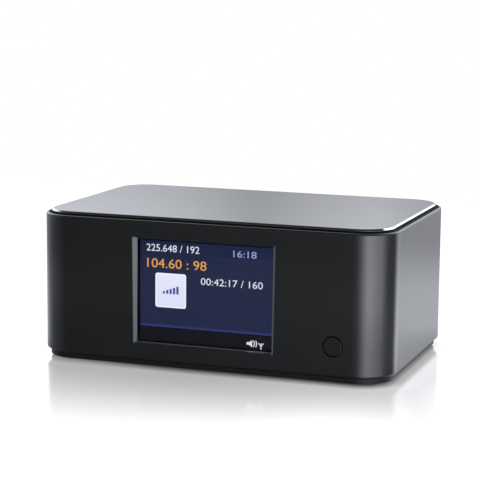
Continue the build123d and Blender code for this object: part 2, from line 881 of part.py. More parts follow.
# Radio module: a small board on two header strips, under a tinned shield
module_width = 34.0
module_depth = 28.0
module_offset = 16.0
module_x = antenna_x + module_offset
module_inset = 36.0
module_y = board_rear - module_inset
module_standoff = 5.0
module_thickness = 1.0
header_inset = 2.0
header_width = 2.5
header_length = 24.0
module_bottom = board_top + module_standoff
module_top = module_bottom + module_thickness
header_x = module_width / 2 - header_inset
header_places = [(module_x - header_x, module_y), (module_x + header_x, module_y)]
write(on_board(header_places, header_width, header_length, module_standoff), "module_headers")
write(
    on_board([(module_x, module_y)], module_width, module_depth, module_thickness, level=module_bottom),
    "radio_module",
)
shield_width = 26.0
shield_depth = 20.0
shield_height = 3.6
shield_gauge = 0.3
shield_offset = 2.5
shield_fillet = 0.5
shield_y = module_y - shield_offset
with BuildPart() as radio_shield:
    with BuildSketch(Plane.XY.offset(module_top)):
        with Locations((module_x, shield_y)):
            Rectangle(shield_width, shield_depth)
    extrude(amount=shield_height)
    fillet(radio_shield.edges().group_by(Axis.Z)[-1], radius=shield_fillet)
    with BuildSketch(Plane.XY.offset(module_top)):
        with Locations((module_x, shield_y)):
            Rectangle(shield_width - 2 * shield_gauge, shield_depth - 2 * shield_gauge)
    extrude(amount=shield_height - shield_gauge, mode=Mode.SUBTRACT)
write(radio_shield, "radio_shield")

# Parts on the main board. The rear group keeps its distance from the board's rear edge, and the power
# parts and the crystal keep theirs from its front edge.
processor_side = 14.0
processor_height = 1.2
processor_x = 8.0
processor_inset = 40.0
processor_place = (processor_x, board_rear - processor_inset)
write(on_board([processor_place], processor_side, processor_side, processor_height), "processor_chip")

memory_width = 8.0
memory_depth = 10.5
memory_height = 1.0
memory_x = 24.0
memory_inset = 30.0
memory_pitch = 12.0
memory_places = [(memory_x, board_rear - memory_inset - i * memory_pitch) for i in range(2)]
write(on_board(memory_places, memory_width, memory_depth, memory_height), "memory_chips")

converter_width = 6.5
converter_depth = 5.0
converter_height = 1.1
converter_x = 19.0
converter_inset = 19.0
converter_place = (converter_x, board_rear - converter_inset)
write(on_board([converter_place], converter_width, converter_depth, converter_height), "audio_converter")

regulator_width = 10.0
regulator_depth = 7.0
regulator_height = 2.2
regulator_x = 30.0
coil_side = 8.0
coil_height = 4.0
coil_corner = 1.0
coil_x = 20.0
power_inset = 14.0
regulator_place = (regulator_x, board_front + power_inset)
coil_place = (coil_x, board_front + power_inset)
write(on_board([regulator_place], regulator_width, regulator_depth, regulator_height), "power_regulator")
write(on_board([coil_place], coil_side, coil_side, coil_height, corner=coil_corner), "power_coil")

crystal_length = 11.0
crystal_width = 4.6
crystal_height = 3.5
crystal_corner = 2.2
crystal_x = -5.0
crystal_inset = 22.0
crystal_place = (crystal_x, board_front + crystal_inset)
write(
    on_board([crystal_place], crystal_length, crystal_width, crystal_height, corner=crystal_corner),
    "clock_crystal",
)

capacitor_radius = 4.0
capacitor_height = 10.0
capacitor_fillet = 0.6
capacitor_side = 12.5
capacitor_x = board_width / 2 - capacitor_side
capacitor_first = 27.0
capacitor_pitch = 10.5
capacitor_places = [(capacitor_x, board_rear - capacitor_first - i * capacitor_pitch) for i in range(3)]
with BuildPart() as capacitors:
    with BuildSketch(Plane.XY.offset(board_top)):
        with Locations(*capacitor_places):
            Circle(capacitor_radius)
    extrude(amount=capacitor_height)
    fillet(capacitors.edges().group_by(Axis.Z)[-1], radius=capacitor_fillet)
write(capacitors, "capacitors")

# Rear panel: a plate with a flange behind the sleeve's wall and holes for the sockets
rca_middle = sum(rca_x) / 2
rca_screw_place = (rca_middle, socket_z + rca_screw_rise)
socket_back = panel_inner - socket_seat
with BuildPart() as rear_panel:
    with BuildSketch(upright(rear_inner)):
        with Locations((0, rear_opening_z)):
            RectangleRounded(
                rear_opening_width + 2 * panel_overlap,
                rear_opening_height + 2 * panel_overlap,
                rear_opening_radius + panel_overlap,
            )
    extrude(amount=panel_flange)
    with BuildSketch(upright(panel_face)):
        with Locations((0, rear_opening_z)):
            RectangleRounded(
                rear_opening_width - 2 * panel_play,
                rear_opening_height - 2 * panel_play,
                rear_opening_radius - panel_play,
            )
    extrude(amount=panel_face - rear_inner)
    with BuildSketch(upright(panel_face)):
        with Locations(*[(x, socket_z) for x in rca_x]):
            Circle(rca_shell_radius + rca_hole_gap)
        with Locations((antenna_x, socket_z)):
            Circle(antenna_thread_radius + hole_play)
        with Locations((dc_x, board_top + dc_axis_rise)):
            Circle(dc_nose_radius + hole_play)
        with Locations((optical_x, board_top + optical_height / 2)):
            Rectangle(optical_width + 2 * hole_play, optical_height + 2 * hole_play)
        with Locations(rca_screw_place):
            Circle(small_screw_radius + hole_play)
        with Locations(*panel_screw_places):
            Circle(board_screw_radius + hole_play)
    extrude(amount=panel_face - panel_inner, mode=Mode.SUBTRACT)
    with BuildSketch(upright(panel_face)):
        with Locations(*panel_screw_places):
            Circle(board_screw_head_radius + hole_play)
    extrude(amount=panel_screw_counterbore, mode=Mode.SUBTRACT)
write(rear_panel, "rear_panel")

panel_seat = panel_face - panel_screw_counterbore
rear_panel_screws = screw_row(
    panel_screw_places, panel_seat, panel_seat - panel_inner + board_screw_grip,
    board_screw_radius, board_screw_head_radius, board_screw_head_height,
)
write(rear_panel_screws, "rear_panel_screws")

# Phono socket pair: one moulded body, two metal shells, two coloured inserts, two centre contacts
rca_width = rca_x[1] - rca_x[0] + 2 * rca_body_margin
rca_places = [(x, socket_z) for x in rca_x]
rca_root = socket_back - rca_shell_root
with BuildPart() as rca_body:
    with BuildSketch(Plane.XY.offset(board_top)):
        with Locations((rca_middle, socket_back - rca_body_depth / 2)):
            Rectangle(rca_width, rca_body_depth)
    extrude(amount=rca_body_height)
    with BuildSketch(upright(socket_back)):
        with Locations(*rca_places):
            Circle(rca_root_radius + screw_play)
    extrude(amount=rca_shell_root, mode=Mode.SUBTRACT)
    with BuildSketch(upright(socket_back)):
        with Locations(rca_screw_place):
            Circle(small_screw_radius + screw_play)
    extrude(amount=small_screw_grip, mode=Mode.SUBTRACT)
write(rca_body, "rca_body")

with BuildPart() as rca_shells:
    with BuildSketch(upright(socket_tip)):
        with Locations(*rca_places):
            Circle(rca_shell_radius)
    extrude(amount=socket_reach - relief_width)
    chamfer(rca_shells.edges().group_by(Axis.Y)[-1], length=rca_shell_chamfer)
    with BuildSketch(upright(panel_face + relief_width)):
        with Locations(*rca_places):
            Circle(rca_root_radius)
    extrude(amount=panel_face + relief_width - rca_root)
    with BuildSketch(upright(socket_tip)):
        with Locations(*rca_places):
            Circle(rca_shell_radius - rca_shell_gauge)
    extrude(amount=socket_tip - rca_root, mode=Mode.SUBTRACT)
write(rca_shells, "rca_shells")

insert_tip = socket_tip - rca_insert_recess
for place, colour in zip(rca_places, ("white", "red")):
    with BuildPart() as rca_insert:
        with BuildSketch(upright(insert_tip)):
            with Locations(place):
                Circle(rca_shell_radius - rca_shell_gauge - screw_play)
        extrude(amount=insert_tip - rca_root)
        with BuildSketch(upright(insert_tip)):
            with Locations(place):
                Circle(rca_contact_radius + screw_play)
        extrude(amount=rca_contact_length + rca_contact_recess, mode=Mode.SUBTRACT)
    write(rca_insert, f"rca_insert_{colour}")

contact_tip = insert_tip - rca_contact_recess
with BuildPart() as rca_contacts:
    with BuildSketch(upright(contact_tip)):
        with Locations(*rca_places):
            Circle(rca_contact_radius)
            Circle(rca_contact_radius - rca_contact_gauge, mode=Mode.SUBTRACT)
    extrude(amount=rca_contact_length)
write(rca_contacts, "rca_contacts")

socket_screw = screw_row(
    [rca_screw_place], panel_face, panel_face - socket_back + small_screw_grip - socket_screw_spare,
    small_screw_radius, small_head_radius, small_head_height,
)
write(socket_screw, "socket_screw")

# Optical socket: a moulded body with a square mouth, closed by a sprung shutter that opens inwards
cavity_bottom = board_top + optical_floor
cavity_top = board_top + optical_height - optical_floor
cavity_z = (cavity_bottom + cavity_top) / 2
cavity_width = optical_width - 2 * optical_side
cavity_end = panel_face - optical_cavity_depth
mouth_bottom_z = board_top + optical_mouth_rise
hinge_z = cavity_top - shutter_axis_drop
hinge_y = panel_face - optical_lip - shutter_gap - shutter_thickness / 2
hinge_plane = Plane.YZ.offset(optical_x - optical_width / 2)
with BuildPart() as optical_socket:
    with BuildSketch(upright(panel_face)):
        with Locations((optical_x, board_top + optical_height / 2)):
            Rectangle(optical_width, optical_height)
    extrude(amount=optical_depth)
    with BuildSketch(upright(panel_face - optical_lip)):
        with Locations((optical_x, cavity_z)):
            Rectangle(cavity_width, cavity_top - cavity_bottom)
    extrude(amount=optical_cavity_depth - optical_lip, mode=Mode.SUBTRACT)
    with BuildSketch(upright(panel_face)):
        with Locations((optical_x, mouth_bottom_z + optical_mouth_height / 2)):
            RectangleRounded(optical_mouth_width, optical_mouth_height, optical_mouth_corner)
    extrude(amount=optical_lip, mode=Mode.SUBTRACT)
    with BuildSketch(upright(cavity_end)):
        with Locations((optical_x, cavity_z)):
            Rectangle(emitter_width, emitter_width)
    extrude(amount=emitter_depth, mode=Mode.SUBTRACT)
    with BuildSketch(hinge_plane):
        with Locations((hinge_y, hinge_z)):
            Circle(hinge_pin_radius)
    extrude(amount=optical_width, mode=Mode.SUBTRACT)
write(optical_socket, "optical_socket")

with BuildPart() as shutter_pin:
    with BuildSketch(hinge_plane):
        with Locations((hinge_y, hinge_z)):
            Circle(hinge_pin_radius - hinge_pin_play)
    extrude(amount=optical_width)
write(shutter_pin, "shutter_pin")

shutter_width = cavity_width - 2 * shutter_side_gap
shutter_bottom = cavity_bottom + shutter_below_gap
with BuildPart() as optical_shutter:
    with BuildSketch(upright(hinge_y + shutter_thickness / 2)):
        with Locations((optical_x, (shutter_bottom + hinge_z) / 2)):
            Rectangle(shutter_width, hinge_z - shutter_bottom)
    extrude(amount=shutter_thickness)
    with BuildSketch(Plane.YZ.offset(optical_x - shutter_width / 2)):
        with Locations((hinge_y, hinge_z)):
            Circle(shutter_thickness / 2)
    extrude(amount=shutter_width)
    with BuildSketch(Plane.YZ.offset(optical_x - shutter_width / 2)):
        with Locations((hinge_y, hinge_z)):
            Circle(hinge_pin_radius + hinge_play)
    extrude(amount=shutter_width, mode=Mode.SUBTRACT)
write(optical_shutter, "optical_shutter")

with BuildPart() as optical_emitter:
    with BuildSketch(upright(cavity_end)):
        with Locations((optical_x, cavity_z)):
            Rectangle(emitter_width - 2 * emitter_play, emitter_width - 2 * emitter_play)
    extrude(amount=emitter_depth)
    with BuildSketch(upright(cavity_end + emitter_nose)):
        with Locations((optical_x, cavity_z)):
            Circle(emitter_radius)
    extrude(amount=emitter_nose)
write(optical_emitter, "optical_emitter")

# Aerial socket: a threaded barrel through the panel, with a washer and a nut outside
antenna_place = (antenna_x, socket_z)
antenna_flange_back = panel_inner - antenna_flange_thickness
antenna_end = antenna_flange_back - antenna_tail_length
nut_face = panel_face + washer_thickness + antenna_nut_thickness
with BuildPart() as antenna_socket:
    with BuildSketch(upright(socket_tip)):
        with Locations(antenna_place):
            Circle(antenna_thread_radius)
    extrude(amount=socket_tip - nut_face - relief_width)
    chamfer(antenna_socket.edges().group_by(Axis.Y)[-1], length=antenna_chamfer)
    with BuildSketch(upright(nut_face + relief_width)):
        with Locations(antenna_place):
            Circle(antenna_core_radius)
    extrude(amount=nut_face + relief_width - panel_inner)
    with BuildSketch(upright(panel_inner)):
        with Locations(antenna_place):
            RegularPolygon(antenna_flange_radius, 6, major_radius=False)
    extrude(amount=antenna_flange_thickness)
    with BuildSketch(upright(antenna_flange_back)):
        with Locations(antenna_place):
            Circle(antenna_tail_radius)
    extrude(amount=antenna_tail_length)
    with BuildSketch(upright(socket_tip)):
        with Locations(antenna_place):
            Circle(antenna_bore_radius)
    extrude(amount=antenna_bore_depth, mode=Mode.SUBTRACT)
write(antenna_socket, "antenna_socket")

with BuildPart() as antenna_insulator:
    with BuildSketch(upright(socket_tip - antenna_chamfer)):
        with Locations(antenna_place):
            Circle(antenna_bore_radius - screw_play)
            Circle(antenna_contact_radius, mode=Mode.SUBTRACT)
    extrude(amount=antenna_bore_depth - antenna_chamfer)
write(antenna_insulator, "antenna_insulator")

with BuildPart() as antenna_washer:
    with BuildSketch(upright(panel_face + washer_thickness)):
        with Locations(antenna_place):
            Circle(washer_radius)
            Circle(antenna_thread_radius + screw_play, mode=Mode.SUBTRACT)
    extrude(amount=washer_thickness)
write(antenna_washer, "antenna_washer")

with BuildPart() as antenna_nut:
    with BuildSketch(upright(nut_face)):
        with Locations(antenna_place):
            RegularPolygon(antenna_nut_flats / 2, 6, major_radius=False)
            Circle(antenna_core_radius + screw_play, mode=Mode.SUBTRACT)
    extrude(amount=antenna_nut_thickness)
write(antenna_nut, "antenna_nut")

# Aerial lead: thin coaxial cable from the socket's tail to a snap connector on the radio module
lead_radius = 0.7
lead_bend = 2.2
lead_offset = 4.0
lead_inset = 3.5
lead_exit = 6.0
lead_rise = 6.0
lead_plug_radius = 1.6
lead_plug_height = 2.4
lead_end_x = module_x + lead_offset
lead_end_y = module_y + module_depth / 2 - lead_inset
lead_plug_top = module_top + lead_plug_height
with BuildPart() as lead_plug:
    with BuildSketch(Plane.XY.offset(module_top)):
        with Locations((lead_end_x, lead_end_y)):
            Circle(lead_plug_radius)
    extrude(amount=lead_plug_height)
write(lead_plug, "lead_plug")

lead_high = lead_plug_top + lead_rise
with BuildPart() as antenna_lead:
    with BuildLine() as lead_path:
        FilletPolyline(
            (antenna_x, antenna_end, socket_z),
            (antenna_x, antenna_end - lead_exit, socket_z),
            (lead_end_x, lead_end_y, lead_high),
            (lead_end_x, lead_end_y, lead_plug_top),
            radius=lead_bend,
        )
    with BuildSketch(Plane(lead_path.line @ 0, z_dir=lead_path.line % 0)):
        Circle(lead_radius)
    sweep()
write(antenna_lead, "antenna_lead")

# Power socket: moulded body with a round nose in the panel, and its centre pin
dc_z = board_top + dc_axis_rise
dc_mouth = panel_face - dc_nose_recess
with BuildPart() as dc_jack:
    with BuildSketch(Plane.XY.offset(board_top)):
        with Locations((dc_x, socket_back - dc_depth / 2)):
            Rectangle(dc_width, dc_depth)
    extrude(amount=dc_height)
    with BuildSketch(upright(dc_mouth)):
        with Locations((dc_x, dc_z)):
            Circle(dc_nose_radius)
    extrude(amount=dc_mouth - socket_back + dc_nose_root)
    with BuildSketch(upright(dc_mouth)):
        with Locations((dc_x, dc_z)):
            Circle(dc_hole_radius)
    extrude(amount=dc_hole_depth, mode=Mode.SUBTRACT)
write(dc_jack, "dc_jack")

with BuildPart() as dc_pin:
    with BuildSketch(upright(dc_mouth - dc_pin_recess)):
        with Locations((dc_x, dc_z)):
            Circle(dc_pin_radius)
    extrude(amount=dc_hole_depth - dc_pin_recess)
    fillet(dc_pin.edges().group_by(Axis.Y)[-1], radius=dc_pin_fillet)
write(dc_pin, "dc_pin")
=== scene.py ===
# The looks of a digital radio adapter, built up in the order in which it is put together: the base with
# its boards, the rear sockets, the sleeve with the display and the button, and the top.
import math

import bmesh
import bpy
from mathutils import Matrix, Vector


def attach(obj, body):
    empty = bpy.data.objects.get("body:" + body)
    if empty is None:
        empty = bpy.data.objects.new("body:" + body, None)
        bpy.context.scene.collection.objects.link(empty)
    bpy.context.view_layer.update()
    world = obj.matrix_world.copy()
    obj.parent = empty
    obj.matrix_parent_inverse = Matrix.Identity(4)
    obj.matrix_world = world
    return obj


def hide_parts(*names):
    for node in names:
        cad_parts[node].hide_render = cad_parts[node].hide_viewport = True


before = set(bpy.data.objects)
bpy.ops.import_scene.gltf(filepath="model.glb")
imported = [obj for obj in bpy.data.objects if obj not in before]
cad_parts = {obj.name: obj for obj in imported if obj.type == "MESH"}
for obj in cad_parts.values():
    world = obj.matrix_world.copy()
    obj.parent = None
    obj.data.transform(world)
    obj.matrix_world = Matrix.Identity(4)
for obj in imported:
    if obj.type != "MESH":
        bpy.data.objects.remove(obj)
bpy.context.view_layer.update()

# Base plate: a tray moulded in black plastic that plugs into the sleeve from below. Its rim shows as a
# thin dark cap under the sleeve, behind a shadow groove. It keeps its shape from the frame.
MM = 0.001


class Link:
    """A value, colour or place in a material. Expressions on it add the Math nodes that work them out."""

    def __init__(self, socket):
        self.socket = socket
        self.tree = socket.id_data

    def node(self, kind, settings=None, sockets=None, output=0):
        """Adds a node of one kind, with its settings and then the values or links of its sockets."""
        made = self.tree.nodes.new("ShaderNode" + kind)
        for name, value in (settings or {}).items():
            if name == "stops":
                ramp = made.color_ramp
                while len(ramp.elements) < len(value):
                    ramp.elements.new(1.0)
                for element, (position, shade) in zip(ramp.elements, value):
                    element.position = position
                    element.color = shade
            else:
                setattr(made, name, value)
        for name, value in (sockets or {}).items():
            if isinstance(value, Link):
                self.tree.links.new(value.socket, made.inputs[name])
            else:
                made.inputs[name].default_value = value
        return Link(made.outputs[output]) if made.outputs else None

    def math(self, operation, *others):
        return self.node("Math", {"operation": operation}, dict(enumerate((self, *others))))

    def __add__(self, other):
        return self.math("ADD", other)

    __radd__ = __add__

    def __mul__(self, other):
        return self.math("MULTIPLY", other)

    __rmul__ = __mul__

    def __sub__(self, other):
        return self.math("SUBTRACT", other)

    def __rsub__(self, other):
        return self.node("Math", {"operation": "SUBTRACT"}, {0: other, 1: self})

    def __truediv__(self, other):
        return self.math("DIVIDE", other)

    def __lt__(self, other):
        return self.math("LESS_THAN", other)

    def __gt__(self, other):
        return self.math("GREATER_THAN", other)

    def __abs__(self):
        return self.math("ABSOLUTE")

    def axis(self, letter):
        """One coordinate of a place, in millimetres."""
        return self.node("SeparateXYZ", {}, {0: self}, letter) / MM

    def noise(self, size, stretch=(1, 1, 1), detail=2.0):
        """Soft noise from 0 to 1, with features of about that size in millimetres."""
        scale = tuple(1 / (size * MM * s) for s in stretch)
        place = self.node("Mapping", {}, {"Vector": self, "Scale": scale})
        return place.node("TexNoise", {}, {"Vector": place, "Scale": 1.0, "Detail": detail}, "Fac")

    def rise(self, start, end):
        """Goes smoothly from 0 to 1 as this value goes from start to end."""
        return self.node("MapRange", {"interpolation_type": "SMOOTHSTEP"}, {0: self, 1: start, 2: end})

    def blend(self, low, high):
        """The colour low where this value is 0 and high where it is 1."""
        return self.node("Mix", {"data_type": "RGBA"}, {0: self, 6: low, 7: high}, 2)

    def bump(self, depth):
        """The surface normal that this height gives, where 1 stands depth millimetres proud."""
        return self.node("Bump", {}, {"Distance": depth * MM, "Height": self})


def colour(red, green, blue):
    """A colour written in screen numbers from 0 to 255, as the linear values that a shader takes."""
    parts = [v / 255 for v in (red, green, blue)]
    return tuple(v / 12.92 if v <= 0.04045 else ((v + 0.055) / 1.055) ** 2.4 for v in parts) + (1.0,)


def fresh_nodes(holder, coordinates):
    """Empties the nodes of a material or a world, and gives the coordinates that its new ones read."""
    holder.use_nodes = True
    holder.node_tree.nodes.clear()
    return Link(holder.node_tree.nodes.new("ShaderNodeTexCoord").outputs[coordinates])


def finish(name, recipe):
    """A material whose surface sockets come from recipe, a function of the place on the piece."""
    material = bpy.data.materials.new(name)
    place = fresh_nodes(material, "Object")
    surface = place.node("BsdfPrincipled", {}, recipe(place), "BSDF")
    place.node("OutputMaterial", {}, {"Surface": surface})
    return material


def dress(material, *nodes):
    """Gives a material to pieces that keep their shape from the frame."""
    for name in nodes:
        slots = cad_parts[name].data.materials
        slots.clear()
        slots.append(material)


def case_finish(name, roughness, shade=(20, 21, 23), gloss=0.5, paler_tone_and_painted_light=None):
    """Satin black: a fine even grain, with faint clouding in the gloss as on any sprayed or etched part.

    The last argument, a function of the place, says where the surface turns to a lighter grey: partly a
    tone of its own, partly painted light."""

    def recipe(place):
        grain = place.noise(0.35, detail=3.0)
        clouds = place.noise(18.0, detail=1.0)
        tone = clouds.blend(colour(*shade), colour(*(v + 3 for v in shade)))
        # where the last argument asks, the black turns to a lighter grey, partly its own tone and partly
        # painted light
        return {
            "Base Color": paler_tone_and_painted_light(place).blend(tone, colour(109, 115, 126)) if paler_tone_and_painted_light else tone,
            "Roughness": roughness + (grain - 0.5) * 0.10 + (clouds - 0.5) * 0.03,
            "Specular IOR Level": gloss,
            "Normal": grain.bump(0.004),
        }

    return finish(name, recipe)


# its black is set darker than the sleeve's, as painted shade for the dark line under the sleeve's edge
dress(case_finish("moulded_black_base_painted_shade", 0.50, (14, 14, 15), 0.3), "base_plate")

# Rubber feet: four soft black discs, stamped from rubber sheet with a fine matt skin. They are bonded in
# round seats under the base.
rubber = finish(
    "rubber",
    lambda place: {
        "Base Color": place.noise(2.0).blend(colour(26, 26, 26), colour(40, 40, 39)),
        "Roughness": 0.75 + (place.noise(0.5) - 0.5) * 0.2,
        "Normal": place.noise(0.4, detail=4.0).bump(0.02),
    },
)
dress(rubber, "rubber_feet")


# Case screws: four blackened steel screws, sunk in the base, that reach up into the posts of the cover.
# Smaller ones of the same kind hold the rear panel and the phono block.
def metal_finish(name, shade, roughness, wear=8, stretch=(1, 1, 1), size=0.6, grain=0.004):
    """Bare metal: its tone and gloss vary a little, and fine marks run the way that stretch says."""

    def recipe(place):
        marks = place.noise(size, stretch, detail=4.0)
        dull = tuple(max(v - wear, 0) for v in shade)
        return {
            "Base Color": marks.blend(colour(*dull), colour(*shade)),
            "Metallic": 1.0,
            "Roughness": roughness + (marks - 0.5) * roughness * 0.5,
            "Normal": marks.bump(grain),
        }

    return finish(name, recipe)


black_steel = metal_finish("blackened_steel", (58, 58, 60), 0.38)
dress(black_steel, "case_screws", "rear_panel_screws", "socket_screw")

# Main board: green glass-fibre board with copper tracks under the lacquer, held by four steel screws. The
# radio module and the front board are cut from the same sheet, and bright zinc-plated screws hold them.
track_pitch = 2.6
track_width = 0.7
patches_per_metre = (160.0, 110.0, 160.0)
ground_edge = 0.52


def board_finish(place):
    """Green lacquer, lighter and raised over the tracks, with a pale rim where the glass shows."""
    x, y = place.axis("X"), place.axis("Y")
    cells = place.node("Mapping", {}, {"Vector": place, "Scale": patches_per_metre})
    sockets = {"Vector": cells, "Scale": 1.0}
    parcel = cells.node("TexVoronoi", {"feature": "F1", "distance": "MANHATTAN"}, sockets, "Color")
    turn = parcel.node("SeparateColor", {}, {0: parcel}) > 0.5
    across = turn * x + (1 - turn) * y
    stripe = (across / track_pitch).math("FRACT") < track_width / track_pitch
    ground = place.noise(9.0, detail=1.0) > ground_edge
    copper = (stripe + ground).math("MINIMUM", 1.0)
    return {
        "Base Color": copper.blend(colour(12, 62, 38), colour(24, 92, 52)),
        "Roughness": 0.34 + (place.noise(1.0) - 0.5) * 0.08,
        "Normal": copper.bump(0.03),
    }


board_green = finish("board_lacquer", board_finish)
dress(board_green, "main_board", "radio_module", "front_board")
steel = metal_finish("zinc_plated_steel", (196, 196, 192), 0.30, wear=25)
dress(steel, "board_screws", "carrier_screws", "front_board_screws", "shutter_pin")


# Parts on the boards: chips in black epoxy, cans of aluminium and tin, and pale nylon connectors, soldered
# on. A striped amber ribbon comes from the display, and one like it links the two boards.
def moulded_finish(name, shade, roughness, grain=0.35, depth=0.006):
    """Moulded plastic: one tone with a slight drift, and the fine texture of the tool's surface."""

    def recipe(place):
        texture = place.noise(grain, detail=3.0)
        cloud = place.noise(12.0, detail=1.0)
        lighter = tuple(min(v + 5, 255) for v in shade)
        return {
            "Base Color": cloud.blend(colour(*shade), colour(*lighter)),
            "Roughness": roughness + (texture - 0.5) * 0.12,
            "Normal": texture.bump(depth),
        }

    return finish(name, recipe)


epoxy = moulded_finish("chip_epoxy", (34, 34, 36), 0.55, depth=0.01)
dress(
    epoxy, "processor_chip", "memory_chips", "audio_converter", "power_regulator", "power_coil",
    "module_headers", "tact_switch",
)
nylon = moulded_finish("connector_nylon", (222, 216, 198), 0.45)
dress(nylon, "link_sockets", "ribbon_connector")
dress(metal_finish("can_aluminium", (205, 206, 208), 0.32, stretch=(1, 1, 6)), "capacitors")
tin = metal_finish("tin_plate", (208, 205, 198), 0.28, wear=18, size=1.5)
dress(tin, "radio_shield", "clock_crystal", "lcd_frame")
conductor_pitch = 0.8
conductor_share = 0.45


def ribbon_finish(place):
    """Amber film, with its copper conductors showing through as darker, slightly raised stripes."""
    stripes = (place.axis("X") / conductor_pitch).math("FRACT") < conductor_share
    return {
        "Base Color": stripes.blend(colour(176, 104, 30), colour(138, 78, 22)),
        "Roughness": 0.3 + (place.noise(1.2) - 0.5) * 0.1,
        "Normal": stripes.bump(0.02),
    }


dress(finish("polyimide", ribbon_finish), "lcd_ribbon", "link_cable")

# Aerial lead: thin coaxial cable in a black jacket, soldered to the aerial socket's tail. A gilt snap
# connector joins it to the radio module.
dress(moulded_finish("cable_jacket", (24, 24, 25), 0.5, grain=1.2, depth=0.02), "antenna_lead")
gold = metal_finish("gilt_brass", (236, 196, 112), 0.22, wear=20, size=0.8)
dress(gold, "lead_plug", "rca_contacts")

# Rear panel: a black moulded plate in the sleeve's rear opening, held by screws, which carries all the
# sockets. Small pale numbers, printed on it by pad, tell the sockets apart.
def put_down():
    """Leaves edit mode and deselects everything."""
    if bpy.context.mode != "OBJECT":
        bpy.ops.object.mode_set(mode="OBJECT")
    bpy.ops.object.select_all(action="DESELECT")


def edit(piece):
    """Takes one piece into edit mode, with nothing of it selected."""
    put_down()
    piece.select_set(True)
    bpy.context.view_layer.objects.active = piece
    bpy.ops.object.mode_set(mode="EDIT")
    bpy.ops.mesh.select_all(action="DESELECT")


def place_piece(piece, material, slot, body, *nodes):
    """Dresses a finished piece, puts it on its body and hides the pieces of the frame that it stands for.
    """
    piece.data.materials.clear()
    piece.data.materials.append(material)
    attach(piece, body)
    if nodes:
        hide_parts(*nodes)


print_thickness = 0.01
print_lift = 0.01


def print_numbers(name, words, left, right, base, height, face, material, slot, behind=False):
    """Numbers as a thin closed skin on a face along Y, stretched to their place and read from one side."""
    put_down()
    bpy.ops.object.text_add()
    line = bpy.context.object
    line.data.body = words
    line.data.resolution_u = 5
    line.data.extrude = print_thickness / 2 * MM
    bpy.ops.object.convert(target="MESH")
    line = bpy.context.object
    line.name = name
    low_x, high_x = min(v.co.x for v in line.data.vertices), max(v.co.x for v in line.data.vertices)
    low_y, high_y = min(v.co.y for v in line.data.vertices), max(v.co.y for v in line.data.vertices)
    wide = (right - left) * MM / (high_x - low_x)
    tall = height * MM / (high_y - low_y)
    line.scale = (wide, tall, 1)
    line.rotation_euler = (math.pi / 2, 0, math.pi if behind else 0)
    start = right * MM + low_x * wide if behind else left * MM - low_x * wide
    line.location = (start, face * MM, base * MM - low_y * tall)
    bpy.ops.object.transform_apply(location=True, rotation=True, scale=True)
    edit(line)
    bpy.ops.mesh.select_all(action="SELECT")
    bpy.ops.mesh.remove_doubles(threshold=print_thickness / 5 * MM)
    put_down()
    place_piece(line, material, slot, "root")


panel_face = 45.45
aerial_x, optical_x, phono_left_x, phono_right_x, power_x = -44.0, -8.0, 11.0, 25.0, 44.0
number_base, number_height = 27.3, 2.1
inner_black = moulded_finish("moulded_black", (27, 27, 28), 0.5)
dress(
    inner_black, "rear_panel", "rca_body", "optical_socket", "optical_shutter", "dc_jack",
    "display_carrier", "switch_plunger",
)
print_white = moulded_finish("printed_numbers", (186, 187, 188), 0.5)
for number, middle_x, half in (
    ("1", aerial_x, 0.16), ("2", optical_x, 0.66), ("3", phono_left_x, 0.54), ("4", phono_right_x, 0.70),
    ("5", power_x, 0.59),
):
    print_numbers(
        "panel_number_" + number, number, middle_x - half, middle_x + half, number_base, number_height,
        panel_face + print_lift, print_white, "inner_black", behind=True,
    )


# Phono sockets: two nickel-plated shells with a rolled lip, drawn from sheet and pressed round a white and
# a red insert, with gilt contacts inside.
def pick(kind, test):
    """Selects the faces, edges or corners whose middle, in millimetres, and direction pass a test."""
    bpy.ops.mesh.select_all(action="DESELECT")
    bpy.ops.mesh.select_mode(type=kind)
    shape = bmesh.from_edit_mesh(bpy.context.object.data)
    if kind == "FACE":
        found = [(f, f.calc_center_median(), f.normal) for f in shape.faces]
    elif kind == "EDGE":
        ends = [(e, e.verts[0].co, e.verts[1].co) for e in shape.edges]
        found = [(e, (first + last) / 2, last - first) for e, first, last in ends]
    else:
        found = [(v, v.co, v.normal) for v in shape.verts]
    for part, middle, way in found:
        if test(middle / MM, way.normalized()):
            part.select_set(True)
    shape.select_flush_mode()
    bmesh.update_edit_mesh(bpy.context.object.data)


def rod(name, x, z, front_y, back_y, radius, sides=96, turn=0.0):
    """A cylinder primitive along Y, turned about its axis, with its place in its mesh."""
    put_down()
    bpy.ops.mesh.primitive_cylinder_add(
        vertices=sides, radius=radius * MM, depth=(back_y - front_y) * MM,
        location=(x * MM, (front_y + back_y) / 2 * MM, z * MM), rotation=(math.pi / 2, turn, 0),
    )
    bpy.context.object.name = name
    bpy.ops.object.transform_apply(location=True, rotation=True, scale=True)
    return bpy.context.object


def draw_out(y=0.0, z=0.0):
    """Extrudes what is selected by so many millimetres."""
    bpy.ops.mesh.extrude_region_move(TRANSFORM_OT_translate={"value": (0, y * MM, z * MM)})


def widen(centre, x=1.0, y=1.0, z=1.0):
    """Scales what is selected about a centre given in millimetres."""
    bpy.ops.transform.resize(value=(x, y, z), center_override=[v * MM for v in centre])


def combine(piece, operation, *tools):
    """Joins tools into one and cuts it from the piece, or adds it to the piece."""
    put_down()
    for tool in tools:
        tool.select_set(True)
    bpy.context.view_layer.objects.active = tools[0]
    if len(tools) > 1:
        bpy.ops.object.join()
    modifier = piece.modifiers.new("combine", "BOOLEAN")
    modifier.operation = operation
    modifier.solver = "EXACT"
    modifier.object = tools[0]
    put_down()
    piece.select_set(True)
    bpy.context.view_layer.objects.active = piece
    bpy.ops.object.modifier_apply(modifier="combine")
    bpy.data.objects.remove(tools[0])


